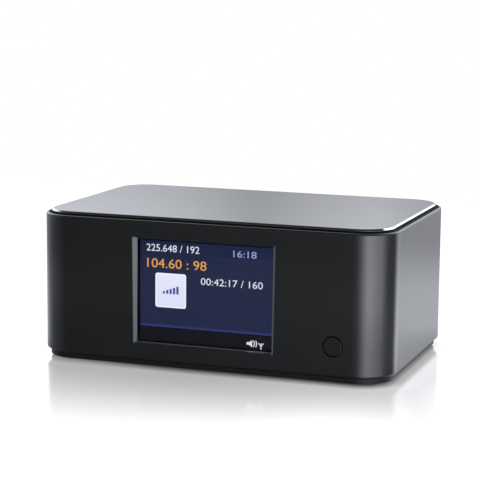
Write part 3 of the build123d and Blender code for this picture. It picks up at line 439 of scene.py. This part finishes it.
def soften(piece, width, angle=38.0):
    """Rounds every edge sharper than the angle and shades the piece smoothly, with its flats kept flat."""
    put_down()
    piece.select_set(True)
    bpy.context.view_layer.objects.active = piece
    if width:
        bevel = piece.modifiers.new("edges", "BEVEL")
        bevel.width = width * MM
        bevel.segments = 2
        bevel.limit_method = "ANGLE"
        bevel.angle_limit = math.radians(angle)
        bevel.use_clamp_overlap = True
        bpy.ops.object.modifier_apply(modifier="edges")
    bpy.ops.object.shade_smooth_by_angle(angle=math.radians(angle), keep_sharp_edges=False)
    weighted = piece.modifiers.new("flats", "WEIGHTED_NORMAL")
    weighted.keep_sharp = True
    weighted.weight = 50
    bpy.ops.object.modifier_apply(modifier="flats")


turned_sides = 64


def turned(name, x, z, stations):
    """A piece turned about an axis along Y: its end face goes from each (y, radius) to the next."""
    piece = rod(name, x, z, stations[0][0], stations[1][0], stations[0][1], turned_sides)
    edit(piece)
    pick("FACE", lambda middle, way: way.y > 0.99)
    for (last_y, last_radius), (y, radius) in zip(stations[1:], stations[2:]):
        draw_out(y=y - last_y)
        widen((x, 0, z), x=radius / last_radius, z=radius / last_radius)
    put_down()
    return piece


nickel = metal_finish("nickel_plate", (214, 208, 196), 0.16, wear=14, size=1.2, grain=0.002)
shell_root, shell_tip = 40.55, 54.95
shell_radius, shell_neck, shell_groove, shell_bore = 4.15, 3.95, 3.99, 3.66
socket_z = 19.5
overshoot = 1.0
shells = turned(
    "phono_shells", phono_left_x, socket_z,
    (
        (shell_root, shell_neck), (panel_face + 0.5, shell_neck), (panel_face + 0.7, shell_radius),
        (shell_tip - 1.5, shell_radius), (shell_tip - 1.35, shell_groove),
        (shell_tip - 1.1, shell_groove), (shell_tip - 0.95, shell_radius),
        (shell_tip - 0.25, shell_radius), (shell_tip - 0.08, shell_radius - 0.07),
        (shell_tip, shell_radius - 0.22),
    ),
)
bore_tool = rod(
    "bore_tool", phono_left_x, socket_z, shell_root - overshoot, shell_tip + overshoot, shell_bore,
    turned_sides,
)
combine(shells, "DIFFERENCE", bore_tool)
soften(shells, 0.03)
put_down()
shells.select_set(True)
bpy.context.view_layer.objects.active = shells
bpy.ops.object.duplicate(linked=False)
bpy.ops.transform.translate(value=((phono_right_x - phono_left_x) * MM, 0, 0))
bpy.ops.object.transform_apply(location=True, rotation=True, scale=True)
shells.select_set(True)
bpy.context.view_layer.objects.active = shells
bpy.ops.object.join()
place_piece(shells, nickel, "nickel", "root", "rca_shells")
dress(nickel, "antenna_washer", "dc_pin")
dress(moulded_finish("insert_white", (232, 230, 224), 0.35), "rca_insert_white")
dress(moulded_finish("insert_red", (186, 22, 26), 0.35), "rca_insert_red")

# Optical socket: the emitter behind the shutter, and the infrared receiver at the front, both in tinted
# resin that looks nearly black.
dress(moulded_finish("tinted_resin", (44, 20, 48), 0.12, depth=0.001), "optical_emitter", "ir_receiver")

# Aerial socket: a nickel-plated brass barrel with a fine thread and a cream insulator in its bore. Its
# flange sits behind the panel, and a washer and a hexagon nut hold it from outside.
thread_radius, thread_root, thread_pitch = 4.76, 4.42, 0.79
thread_step = 0.18
tail_front, flange_front, flange_rear = 34.65, 40.65, 42.65
tail_radius = 3.4
flange_half, nut_half = 6.0, 5.5
nut_front, nut_rear, nut_chamfer = 45.95, 48.15, 0.5
insulator_face = shell_tip - 7.0
twelfth_turn = math.radians(30)
hexagon = math.cos(twelfth_turn)
outline = [
    (tail_front, tail_radius), (flange_front, tail_radius), (flange_front, thread_root),
    (panel_face, thread_root),
]
ring = panel_face
while ring + thread_pitch < shell_tip - 0.6:
    outline += [
        (ring + thread_step, thread_radius), (ring + 2 * thread_step, thread_radius),
        (ring + 3 * thread_step, thread_root), (ring + thread_pitch, thread_root),
    ]
    ring += thread_pitch
outline += [
    (shell_tip - 0.5, thread_radius - 0.06), (shell_tip - 0.35, thread_radius - 0.06),
    (shell_tip, thread_root - 0.1), (shell_tip, tail_radius), (insulator_face, tail_radius),
]
barrel = turned("aerial_barrel", aerial_x, socket_z, outline)
flange = rod(
    "flange", aerial_x, socket_z, flange_front, flange_rear, flange_half / hexagon, 6, twelfth_turn
)
combine(barrel, "UNION", flange)
soften(barrel, 0.02)
place_piece(barrel, nickel, "nickel", "root", "antenna_socket")
nut = rod("aerial_nut", aerial_x, socket_z, nut_front, nut_rear, nut_half / hexagon, 6, twelfth_turn)
nut_reach = nut_half / hexagon + 0.05
nut_tool = turned(
    "nut_tool", aerial_x, socket_z,
    (
        (nut_front - 0.1, nut_half), (nut_front, nut_half), (nut_front + nut_chamfer, nut_reach),
        (nut_rear - nut_chamfer, nut_reach), (nut_rear, nut_half), (nut_rear + 0.1, nut_half),
    ),
)
combine(nut, "INTERSECT", nut_tool)
nut_bore = rod(
    "nut_bore", aerial_x, socket_z, nut_front - overshoot, nut_rear + overshoot, thread_root + 0.1,
    turned_sides,
)
combine(nut, "DIFFERENCE", nut_bore)
soften(nut, 0.06)
place_piece(nut, nickel, "nickel", "root", "antenna_nut")
dress(moulded_finish("insulator_cream", (228, 220, 196), 0.4), "antenna_insulator")


# Sleeve: one wall of satin black plastic all round, moulded with rounded corners, a rebate at each end, a
# bevelled mouth for the display, a hole for the button and an opening for the rear panel.
def block(name, low, high):
    """A cube primitive stretched between two corners, in millimetres, with its place in its mesh."""
    put_down()
    middle = [(a + b) / 2 * MM for a, b in zip(low, high)]
    sides = [(b - a) * MM for a, b in zip(low, high)]
    bpy.ops.mesh.primitive_cube_add(size=1, location=middle, scale=sides)
    bpy.context.object.name = name
    bpy.ops.object.transform_apply(location=True, rotation=True, scale=True)
    return bpy.context.object


def shift(y=0.0, z=0.0):
    """Moves what is selected by so many millimetres."""
    bpy.ops.transform.translate(value=(0, y * MM, z * MM))


def round_edges(width, segments):
    """Bevels the selected edges by a width in millimetres."""
    bpy.ops.mesh.bevel(offset=width * MM, segments=segments, affect="EDGES", clamp_overlap=False)


case_x = 77.0
case_front, case_back = -54.95, 46.05
case_middle_y = (case_front + case_back) / 2
case_corner = 15.5
arc_steps = 28
sleeve_low, sleeve_high = 3.6, 61.9
rim_round = 0.8
rim_lip = 1.0
rebate = 1.8
wall = 2.2
inner_face = case_front + wall
mouth_x, mouth_z = -1.4, 32.5
mouth_half_x, mouth_half_z = 29.45, 21.65
mouth_outer_low, mouth_outer_high = 30.5, 31.0
mouth_drop, mouth_rise = 0.5, 0.7
mouth_depth_low, mouth_depth_high = 1.3, 1.9
button_x, button_z = 54.0, 15.85
button_hole = 4.3
rear_half_x, rear_low, rear_high = 59.5, 9.6, 30.6
rear_corner = 2.0
receiver_x, receiver_z, receiver_radius, receiver_sink = 45.5, 27.6, 4.0, 1.2
edge_softness = 0.10

sleeve = block("sleeve", (-case_x, case_front, sleeve_low), (case_x, case_back, sleeve_high))
edit(sleeve)
pick("EDGE", lambda middle, way: abs(way.z) > 0.9)
round_edges(case_corner, arc_steps)
pick("EDGE", lambda middle, way: abs(way.z) < 0.1 and not sleeve_low + 1 < middle.z < sleeve_high - 1)
round_edges(rim_round, 4)
for end, into in ((sleeve_high, -1), (sleeve_low, 1)):
    pick("FACE", lambda middle, way: abs(middle.z - end) < 0.01 and abs(way.z) > 0.99)
    bpy.ops.mesh.inset(thickness=(rim_lip - rim_round) * MM)
    draw_out(z=into * rebate)
    bpy.ops.mesh.inset(thickness=(wall - rim_lip) * MM)
pick(
    "FACE",
    lambda middle, way: abs(way.z) > 0.99 and abs(middle.x) < 1 and abs(middle.y - case_middle_y) < 1,
)
bpy.ops.mesh.bridge_edge_loops()

# the cutter for the mouth flares towards the front, and its inner edge leans back a little at the top
mouth_tool = block(
    "mouth_tool",
    (mouth_x - mouth_half_x, case_front, mouth_z - mouth_half_z),
    (mouth_x + mouth_half_x, case_front + mouth_depth_low, mouth_z + mouth_half_z),
)
edit(mouth_tool)
for above, half, rise in ((False, mouth_outer_low, -mouth_drop), (True, mouth_outer_high, mouth_rise)):
    pick("VERT", lambda middle, way: middle.y < case_front + 0.1 and (middle.z > mouth_z) == above)
    widen((mouth_x, 0, 0), x=half / mouth_half_x)
    shift(z=rise)
pick("VERT", lambda middle, way: middle.y > case_front + 0.1 and middle.z > mouth_z)
shift(y=mouth_depth_high - mouth_depth_low)
pick("FACE", lambda middle, way: way.y < -0.99)
draw_out(y=-overshoot)
pick("FACE", lambda middle, way: way.y > 0.9)
draw_out(y=2 * overshoot)
button_tool = rod(
    "button_tool", button_x, button_z, case_front - overshoot, inner_face + overshoot, button_hole
)
rear_tool = block(
    "rear_tool",
    (-rear_half_x, case_back - wall - overshoot, rear_low),
    (rear_half_x, case_back + overshoot, rear_high),
)
edit(rear_tool)
pick("EDGE", lambda middle, way: abs(way.y) > 0.9)
round_edges(rear_corner, 8)
# a thin spot inside the front, behind which the infrared receiver sits
receiver_tool = rod(
    "receiver_tool", receiver_x, receiver_z, inner_face - receiver_sink, inner_face + overshoot,
    receiver_radius, 48,
)
combine(sleeve, "DIFFERENCE", mouth_tool, button_tool, rear_tool, receiver_tool)
soften(sleeve, edge_softness)
# the softened corners stand a hair proud of the front, and go back level with it
edit(sleeve)
pick("VERT", lambda middle, way: middle.y < case_front - 0.001)
widen((0, case_front, 0), y=0.0)
put_down()


def mouth_tone_and_painted_light(place):
    """The bevel round the display is lighter than the front: partly a tone of its own, partly painted
    light and shade for how each side catches the light.
    """
    x, y, z = place.axis("X"), place.axis("Y"), place.axis("Z")
    beside = abs(x - mouth_x) < mouth_outer_high + 0.05
    level = abs(z - mouth_z) < mouth_half_z + mouth_rise + 0.05
    # painted light: the right side is palest, the left less, the top least; the bottom is painted darker,
    # with a painted light band along its deep edge
    on_left, on_right = x < mouth_x - mouth_half_x, x > mouth_x + mouth_half_x
    below = (z < mouth_z - mouth_half_z) * (0.55 * (y > case_front + 1.0) - 0.20)
    paler_tone_and_painted_light = 0.31 + below + 0.24 * on_left + 0.69 * on_right
    return beside * level * (y > case_front + 0.04) * (y < inner_face - 0.2) * paler_tone_and_painted_light


case_black = case_finish("satin_black_case", 0.21, paler_tone_and_painted_light=mouth_tone_and_painted_light)
place_piece(sleeve, case_black, "case_black", "root", "body_sleeve")

# Display: behind a clear window and a black foam frame lies the lit picture of the display module, with a
# tinned frame, a light plate and a moulded carrier at its back.
lit_left, lit_right = mouth_x - 28.9, mouth_x + 28.9
lit_low, lit_high = mouth_z - 21.25, mouth_z + 20.8
glass_front = -50.95
band_top = 17.3
header_line, line_left, line_right = 47.35, 1.4, 26.4
card_x, card_z, card_half_x, card_half_z, card_rim = -16.85, 32.8, 6.78, 7.2, 0.55
first_bar_x, bar_foot, bar_pitch, bar_half, bar_rise = -19.85, 31.4, 1.5, 0.5, 0.28
speaker_x, mast_x, sign_z = 17.0, 22.7, 13.4


def rounded(x, z, middle_x, middle_z, half_x, half_z, corner):
    """1 inside a rectangle with rounded corners."""
    out_x = (abs(x - middle_x) - (half_x - corner)).math("MAXIMUM", 0.0)
    out_z = (abs(z - middle_z) - (half_z - corner)).math("MAXIMUM", 0.0)
    return (out_x * out_x + out_z * out_z) < corner * corner


def add_light(first, second):
    """The sum of two colours."""
    sockets = {0: 1.0, 6: first, 7: second}
    return first.node("Mix", {"data_type": "RGBA", "blend_type": "ADD"}, sockets, 2)


def picture(place):
    """The lit picture: night blue with a dark band below, a card of rising bars and two small signs."""
    x, z = place.axis("X"), place.axis("Z")
    up = (z - band_top) / (lit_high - band_top)
    blue = up.blend(colour(27, 34, 65), colour(23, 32, 62))
    glow = z.rise(band_top + 1.5, band_top).blend((0, 0, 0, 1), colour(34, 40, 98))
    line = (abs(z - header_line) < 0.12) * (x > line_left) * (x < line_right)
    lines = line.blend((0, 0, 0, 1), (0.012, 0.014, 0.05, 1))
    ground = add_light(add_light(blue, glow), lines)
    shown = (z < band_top).blend(ground, colour(6, 5, 16))
    card = rounded(x, z, card_x, card_z, card_half_x, card_half_z, 1.0)
    inside = rounded(x, z, card_x, card_z, card_half_x - card_rim, card_half_z - card_rim, 0.8)
    card_white = z.rise(card_z - card_half_z, card_z + card_half_z)
    shown = card.blend(shown, colour(246, 247, 255))
    shown = inside.blend(shown, card_white.blend(colour(226, 228, 252), colour(232, 234, 253)))
    for step in range(5):
        bar_x, half = first_bar_x + bar_pitch * step, bar_half + bar_rise * step
        bar = rounded(x, z, bar_x, bar_foot + half, bar_half, half, 0.1)
        shown = bar.blend(shown, colour(72, 74, 158))
    # a loudspeaker and an aerial, as plain signs
    box = rounded(x, z, speaker_x, sign_z, 0.5, 0.55, 0.1)
    horn = (x > speaker_x + 0.3) * (x < speaker_x + 1.9) * (abs(z - sign_z) < (x - speaker_x + 0.1) * 0.75)
    along = x - speaker_x - 1.2
    reach = (along * along + (z - sign_z) * (z - sign_z)).math("SQRT")
    rings = (abs(reach - 1.7) < 0.2) + (abs(reach - 2.6) < 0.2)
    waves = (x > speaker_x + 2.2) * (abs(z - sign_z) < 1.35) * rings
    mast = rounded(x, z, mast_x, sign_z - 1.1, 0.22, 1.55, 0.1)
    spread = (z - sign_z + 0.8) * 0.85
    fork = (spread > 0.0) * (z < sign_z + 0.55) * (abs(abs(x - mast_x) - spread) < 0.22)
    signs = (box + horn + waves + mast + fork).math("MINIMUM", 1.0)
    shown = signs.blend(shown, colour(226, 228, 236))
    lit = (x > lit_left) * (x < lit_right) * (z > lit_low) * (z < lit_high)
    face = place.axis("Y") < glass_front + 0.01
    return (lit * face).blend((0, 0, 0, 1), shown)


glass_look = finish(
    "display_picture",
    lambda place: {
        "Base Color": place.noise(6.0).blend((0.002, 0.002, 0.003, 1), (0.004, 0.004, 0.006, 1)),
        "Roughness": 0.25 + (place.noise(0.5) - 0.5) * 0.05,
        "Specular IOR Level": 0.1,
        "Emission Color": picture(place),
        "Emission Strength": 1.0,
    },
)
dress(glass_look, "lcd_panel")
window = finish(
    "clear_window",
    lambda place: {
        "Base Color": (0.97, 0.975, 0.98, 1),
        "Roughness": (place.noise(8.0) - 0.5) * 0.01 + 0.012,
        "IOR": 1.25,
        "Transmission Weight": 1.0,
    },
)
dress(window, "display_window")
foam = finish(
    "foam",
    lambda place: {
        "Base Color": place.noise(0.3).blend(colour(10, 10, 11), colour(20, 20, 21)),
        "Roughness": 0.9 + (place.noise(0.3) - 0.5) * 0.1,
        "Normal": place.noise(0.3).bump(0.03),
    },
)
dress(foam, "display_gasket")
dress(moulded_finish("light_plate", (236, 238, 240), 0.35), "backlight_plate")
for name, words, left, right, base, height, shade in (
    ("picture_header", "225.648 / 192", -27.6, -4.3, 48.95, 2.95, (236, 238, 250)),
    ("picture_clock", "16:18", 10.4, 20.4, 48.6, 2.75, (168, 166, 232)),
    ("picture_station", "104.60 : 98", -27.3, -1.2, 42.1, 3.85, (240, 168, 72)),
    ("picture_title", "00:42:17 / 160", -3.6, 23.2, 36.2, 2.9, (232, 234, 248)),
):
    dimmer = tuple(max(v - 12, 0) for v in shade)
    glow = finish(
        name,
        lambda place: {
            "Base Color": (0, 0, 0, 1),
            "Roughness": 0.4 + (place.noise(0.5) - 0.5) * 0.05,
            "Emission Color": place.noise(0.6).blend(colour(*dimmer), colour(*shade)),
            "Emission Strength": 1.0,
        },
    )
    print_numbers(
        name, words, left, right, base, height, glass_front - 2 * print_lift, glow, "display_glass",
    )

# Push button: a round cap with a fine rounded edge, level with the front, with a brim that holds it in the
# guide ring and a stem that reaches the switch. It is moulded in the case's black.
cap_radius = 3.88
cap_edge = 0.25
dish_margin, dish_depth = 0.3, 0.06
brim_radius, brim_front, brim_back = 5.4, -52.55, -51.55
stem_radius, stem_back = 2.6, -49.0
button = rod("button", button_x, button_z, case_front, brim_front, cap_radius)
edit(button)
pick("FACE", lambda middle, way: way.y > 0.99)
draw_out()
widen((button_x, 0, button_z), x=brim_radius / cap_radius, z=brim_radius / cap_radius)
draw_out(y=brim_back - brim_front)
bpy.ops.mesh.inset(thickness=(brim_radius - stem_radius) * MM)
draw_out(y=stem_back - brim_back)
pick("EDGE", lambda middle, way: middle.y < case_front + 0.01 and abs(way.y) < 0.01)
round_edges(cap_edge, 4)
pick("FACE", lambda middle, way: way.y < -0.99 and middle.y < case_front + 0.01)
bpy.ops.mesh.inset(thickness=dish_margin * MM)
shift(y=dish_depth)
soften(button, 0)
button_black = case_finish("satin_black_button", 0.36, (10, 10, 10), 0.4)
place_piece(button, button_black, "case_black", "button", "power_button")

# Top cover: drops into the sleeve's upper rebate, and shows only as a thin band and a dark neck between
# the sleeve's rim and the top plate.
# its black is set darker than the sleeve's, as painted shade for the dark line in the gap under the top
# plate
dress(case_finish("moulded_black_cover_painted_shade", 0.72, (7, 7, 8), 0.1), "top_cover")

# Top plate: thin brushed sheet, anodised black, with its edge cut at 45 degrees down to bright metal after
# the anodising. It is bonded on the cover's neck.
plate_inset = 2.39
plate_low, plate_high = 62.52, 63.42
plate_cut = 0.7
plate = block(
    "plate",
    (plate_inset - case_x, case_front + plate_inset, plate_low),
    (case_x - plate_inset, case_back - plate_inset, plate_high),
)
edit(plate)
pick("EDGE", lambda middle, way: abs(way.z) > 0.9)
round_edges(case_corner - plate_inset, arc_steps)
pick("EDGE", lambda middle, way: abs(way.z) < 0.1 and middle.z > plate_high - 0.01)
round_edges(plate_cut, 1)
soften(plate, edge_softness / 2, angle=30.0)


def plate_finish(place):
    """Black brushed sheet on top and below, and bright milled metal on the cut edge."""
    z = place.axis("Z")
    cut = (z < plate_high - 0.03) * (z > plate_high - plate_cut - 0.03)
    streaks = place.noise(0.35, stretch=(120, 1, 1), detail=4.0)
    black = streaks.blend(colour(34, 34, 36), colour(44, 44, 46))
    return {
        "Base Color": cut.blend(black, colour(176, 178, 180)),
        "Metallic": cut,
        "Roughness": 0.11 + (streaks - 0.5) * 0.08,
        "Normal": streaks.bump(0.005),
    }


place_piece(plate, finish("brushed_plate", plate_finish), "plate_black", "root", "top_plate")

# Studio: a pale floor that goes up into white, with a soft sheen around the case. Three soft lamps and the
# camera stand around it.
floor_side = 30.0
put_down()
bpy.ops.mesh.primitive_plane_add(size=1, location=(0, 0, 0), scale=(floor_side, floor_side, 1))
floor = bpy.context.object
floor.name = "floor"
bpy.ops.object.transform_apply(location=True, rotation=True, scale=True)

# What shiny surfaces see around them, by azimuth in degrees from the front towards the right: a broad
# bright panel to the right of the camera, a dark gap beside it, white paper behind, and dusk in front.
panorama = (
    (-180, 0.65), (-175, 0.55), (-169, 0.42), (-165.2, 0.74), (-163, 0.62), (-161.3, 0.50), (-159, 0.70),
    (-156, 0.85), (-148, 1.00), (-142, 1.18), (-136, 1.15), (-121, 1.05), (-110, 0.95), (-85, 0.78),
    (-65, 0.68), (-48, 0.46), (-34, 0.22), (-24, 0.19), (-16, 0.41), (-9, 0.52), (0, 0.62), (10, 1.60),
    (22, 4.40), (33, 6.80), (46, 6.00), (60, 4.60), (76, 3.60), (86, 1.80), (96, 0.85), (110, 0.50),
    (124, 0.40), (130, 0.50), (138, 2.60), (150, 3.00), (156, 2.40), (162, 1.60), (167, 1.25), (172, 0.90),
    (180, 0.70),
)
brightest = 7.0


def glow_around(way):
    """How bright the studio looks in a direction."""
    outputs = way.node("SeparateXYZ", {}, {0: way}).socket.node.outputs
    right, rear, height = (Link(outputs[letter]) for letter in "XYZ")
    azimuth = right.math("ARCTAN2", rear * -1.0)
    share = azimuth / (2 * math.pi) + 0.5
    halves = [[(a, v) for a, v in panorama if a <= 0], [(a, v) for a, v in panorama if a >= 0]]
    sides = []
    for half, start in zip(halves, (0.0, 0.5)):
        stops = [(((a + 180) / 360 - start) * 2, (v / brightest,) * 3 + (1.0,)) for a, v in half]
        part = (share - start) * 2.0
        sides.append(part.node("ValToRGB", {"stops": stops}, {0: part}, "Color") * brightest)
    around = (share > 0.5) * (sides[1] - sides[0]) + sides[0]
    # the panel ends a little above the case, the paper behind is lit from above, and the ceiling is dark
    lower = around.math("MINIMUM", 1.4)
    around = around + (lower - around) * height.rise(-0.10, 0.06)
    lit_paper = 1.35 * height.rise(0.10, 0.19) * rear.rise(-0.20, 0.60)
    levels = 1.0 - 0.3 * height.rise(-0.06, 0.06) + lit_paper
    ceiling = height - 0.3 * rear.rise(0.25, 0.60)
    return around * levels * ceiling.rise(0.75, 0.50) + 0.05


floor_material = bpy.data.materials.new("studio_floor")
place = fresh_nodes(floor_material, "Object")
x, y = place.axis("X"), place.axis("Y")
# how far a spot lies outside the case's outline, and how far before and beside it along the camera's view
out_x = (abs(x) - (case_x - case_corner)).math("MAXIMUM", 0.0)
out_y = (abs(y - case_middle_y) - (case_back - case_middle_y - case_corner)).math("MAXIMUM", 0.0)
away = (out_x * out_x + out_y * out_y).math("SQRT") - case_corner
camera_turn = math.radians(18.0)
beside = (x - case_x) / math.sin(camera_turn)
before = (case_front - y) / math.cos(camera_turn)
behind_case = (x * -1.0 - case_x).math("MAXIMUM", y - case_back)
# the sheen fades with that distance, and reaches furthest beside the front half of the right side
beyond = (beside - before).rise(0.0, 40.0) * y.rise(25.0, -5.0)
spread = 132.0 - 36.0 * x.rise(-60.0, 90.0) - 22.0 * x.rise(30.0, 70.0) + 66.0 * beyond
far_off = (beside.math("MAXIMUM", before) / spread).rise(1.0, 0.04)
mirror = 0.57 - 0.13 * x.rise(-10.0, 80.0) + 0.20 * beyond * away.rise(6.0, 13.0)
sheen = far_off * behind_case.rise(90.0, 10.0) * mirror + 0.12 * away.rise(4.0, 0.0)
rays = place.node("LightPath").socket.node.outputs
is_camera, is_glossy = Link(rays["Is Camera Ray"]), Link(rays["Is Glossy Ray"])
# under the case and just before it the paper is in shade, less so on the left
shade_off = (away + 4.0 * x.rise(-10.0, -70.0)).rise(-7.0, 4.0)
paper_white = {"Color": (0.45, 0.45, 0.45, 1)}
paper_glow = {"Color": (1, 1, 1, 1), "Strength": is_camera * shade_off * 0.80}
paper_gloss = {"Color": (0.9, 0.9, 0.9, 1), "Roughness": 0.12}
white = place.node("BsdfDiffuse", {}, paper_white, "BSDF")
lift = place.node("Emission", {}, paper_glow, "Emission")
paper = place.node("AddShader", {}, {0: white, 1: lift}, "Shader")
polish = place.node("BsdfGlossy", {}, paper_gloss, "BSDF")
seen = place.node("MixShader", {}, {0: sheen, 1: paper, 2: polish}, "Shader")
# a shiny surface looks through the floor at the same studio, dimmer close to the case
near_by = 0.25 + 0.35 * away.rise(0.0, 16.0) + 0.40 * away.rise(50.0, 220.0)
darker = 0.30 * away.rise(230.0, 330.0) + 0.50 * away.rise(190.0, 300.0) * x.rise(120.0, 0.0)
in_front = near_by * (1.0 - darker)
behind = (0.68 + 0.32 * away.rise(0.0, 40.0)) * (1.0 - 0.42 * away.rise(110.0, 300.0))
at_back = y.rise(-60.0, -30.0)
dimming = at_back * (behind - in_front) + in_front
tint = place.node("CombineColor", {}, {0: dimming, 1: dimming, 2: dimming})
through = place.node("BsdfTransparent", {}, {"Color": tint}, "BSDF")
surface = place.node("MixShader", {}, {0: is_glossy, 1: seen, 2: through}, "Shader")
place.node("OutputMaterial", {}, {"Surface": surface})
floor.data.materials.append(floor_material)

# The world is plain white to the camera, also through the window, the studio above to shiny surfaces, and
# an even pale grey to everything else.
world = bpy.data.worlds.new("studio")
bpy.context.scene.world = world
way = fresh_nodes(world, "Generated")
rays = way.node("LightPath").socket.node.outputs
is_camera, is_glossy = Link(rays["Is Camera Ray"]), Link(rays["Is Glossy Ray"])
is_through = Link(rays["Is Transmission Ray"])
straight = (Link(rays["Glossy Depth"]) < 0.5) * (Link(rays["Diffuse Depth"]) < 0.5)
plain = 0.62
shiny = (is_glossy + is_through).math("MINIMUM", 1.0)
level = shiny * (glow_around(way) - plain) + plain
seen_white = (is_camera + is_through * straight).math("MINIMUM", 1.0)
strength = seen_white * (1.0 - level) + level
cool = (shiny * (1.0 - seen_white)).blend((1, 1, 1, 1), (0.965, 0.995, 1.065, 1))
sky = way.node("Background", {}, {"Color": cool, "Strength": strength}, "Background")
way.node("OutputWorld", {}, {"Surface": sky})

# The lamps all point at the middle of the case, and neither the camera nor a shiny surface sees them.
target = Vector((0, case_middle_y * MM, 0.033))


def soft_lamp(name, azimuth, elevation, distance, width, height, radiance):
    """An area lamp aimed at the case, at an azimuth counted from the front towards the right."""
    a, e = math.radians(azimuth), math.radians(elevation)
    way_out = Vector((math.sin(a) * math.cos(e), -math.cos(a) * math.cos(e), math.sin(e)))
    spot = target + distance * way_out
    lamp = bpy.data.lights.new(name, "AREA")
    lamp.shape = "RECTANGLE"
    lamp.size, lamp.size_y = width, height
    lamp.energy = radiance * math.pi * width * height
    stand = bpy.data.objects.new(name, lamp)
    bpy.context.scene.collection.objects.link(stand)
    stand.location = spot
    stand.rotation_euler = (target - spot).to_track_quat("-Z", "Y").to_euler()
    stand.visible_camera = False
    stand.visible_glossy = False


soft_lamp("front_right_lamp", 28, 6, 1.6, 0.75, 1.0, 3.2)
soft_lamp("right_lamp", 64, 6, 1.6, 1.1, 1.0, 1.6)
soft_lamp("top_lamp", 20, 68, 1.5, 1.2, 1.0, 0.8)

# The camera looks through a long lens at the case, a little from the right and from above.
lens = bpy.data.cameras.new("camera")
lens.sensor_width = 36.0
lens.lens = 131.28
camera = bpy.data.objects.new("camera", lens)
bpy.context.scene.collection.objects.link(camera)
camera.matrix_world = Matrix(
    (
        (0.94332304, -0.06216886, 0.32600103, 0.24413),
        (0.33172348, 0.14685634, -0.93187593, -0.71126),
        (0.01005835, 0.98720223, 0.15915584, 0.16860),
        (0.0, 0.0, 0.0, 1.0),
    )
)
lens.clip_start = 0.01
lens.clip_end = 100.0
bpy.context.scene.camera = camera
bpy.context.scene.view_settings.view_transform = "Standard"
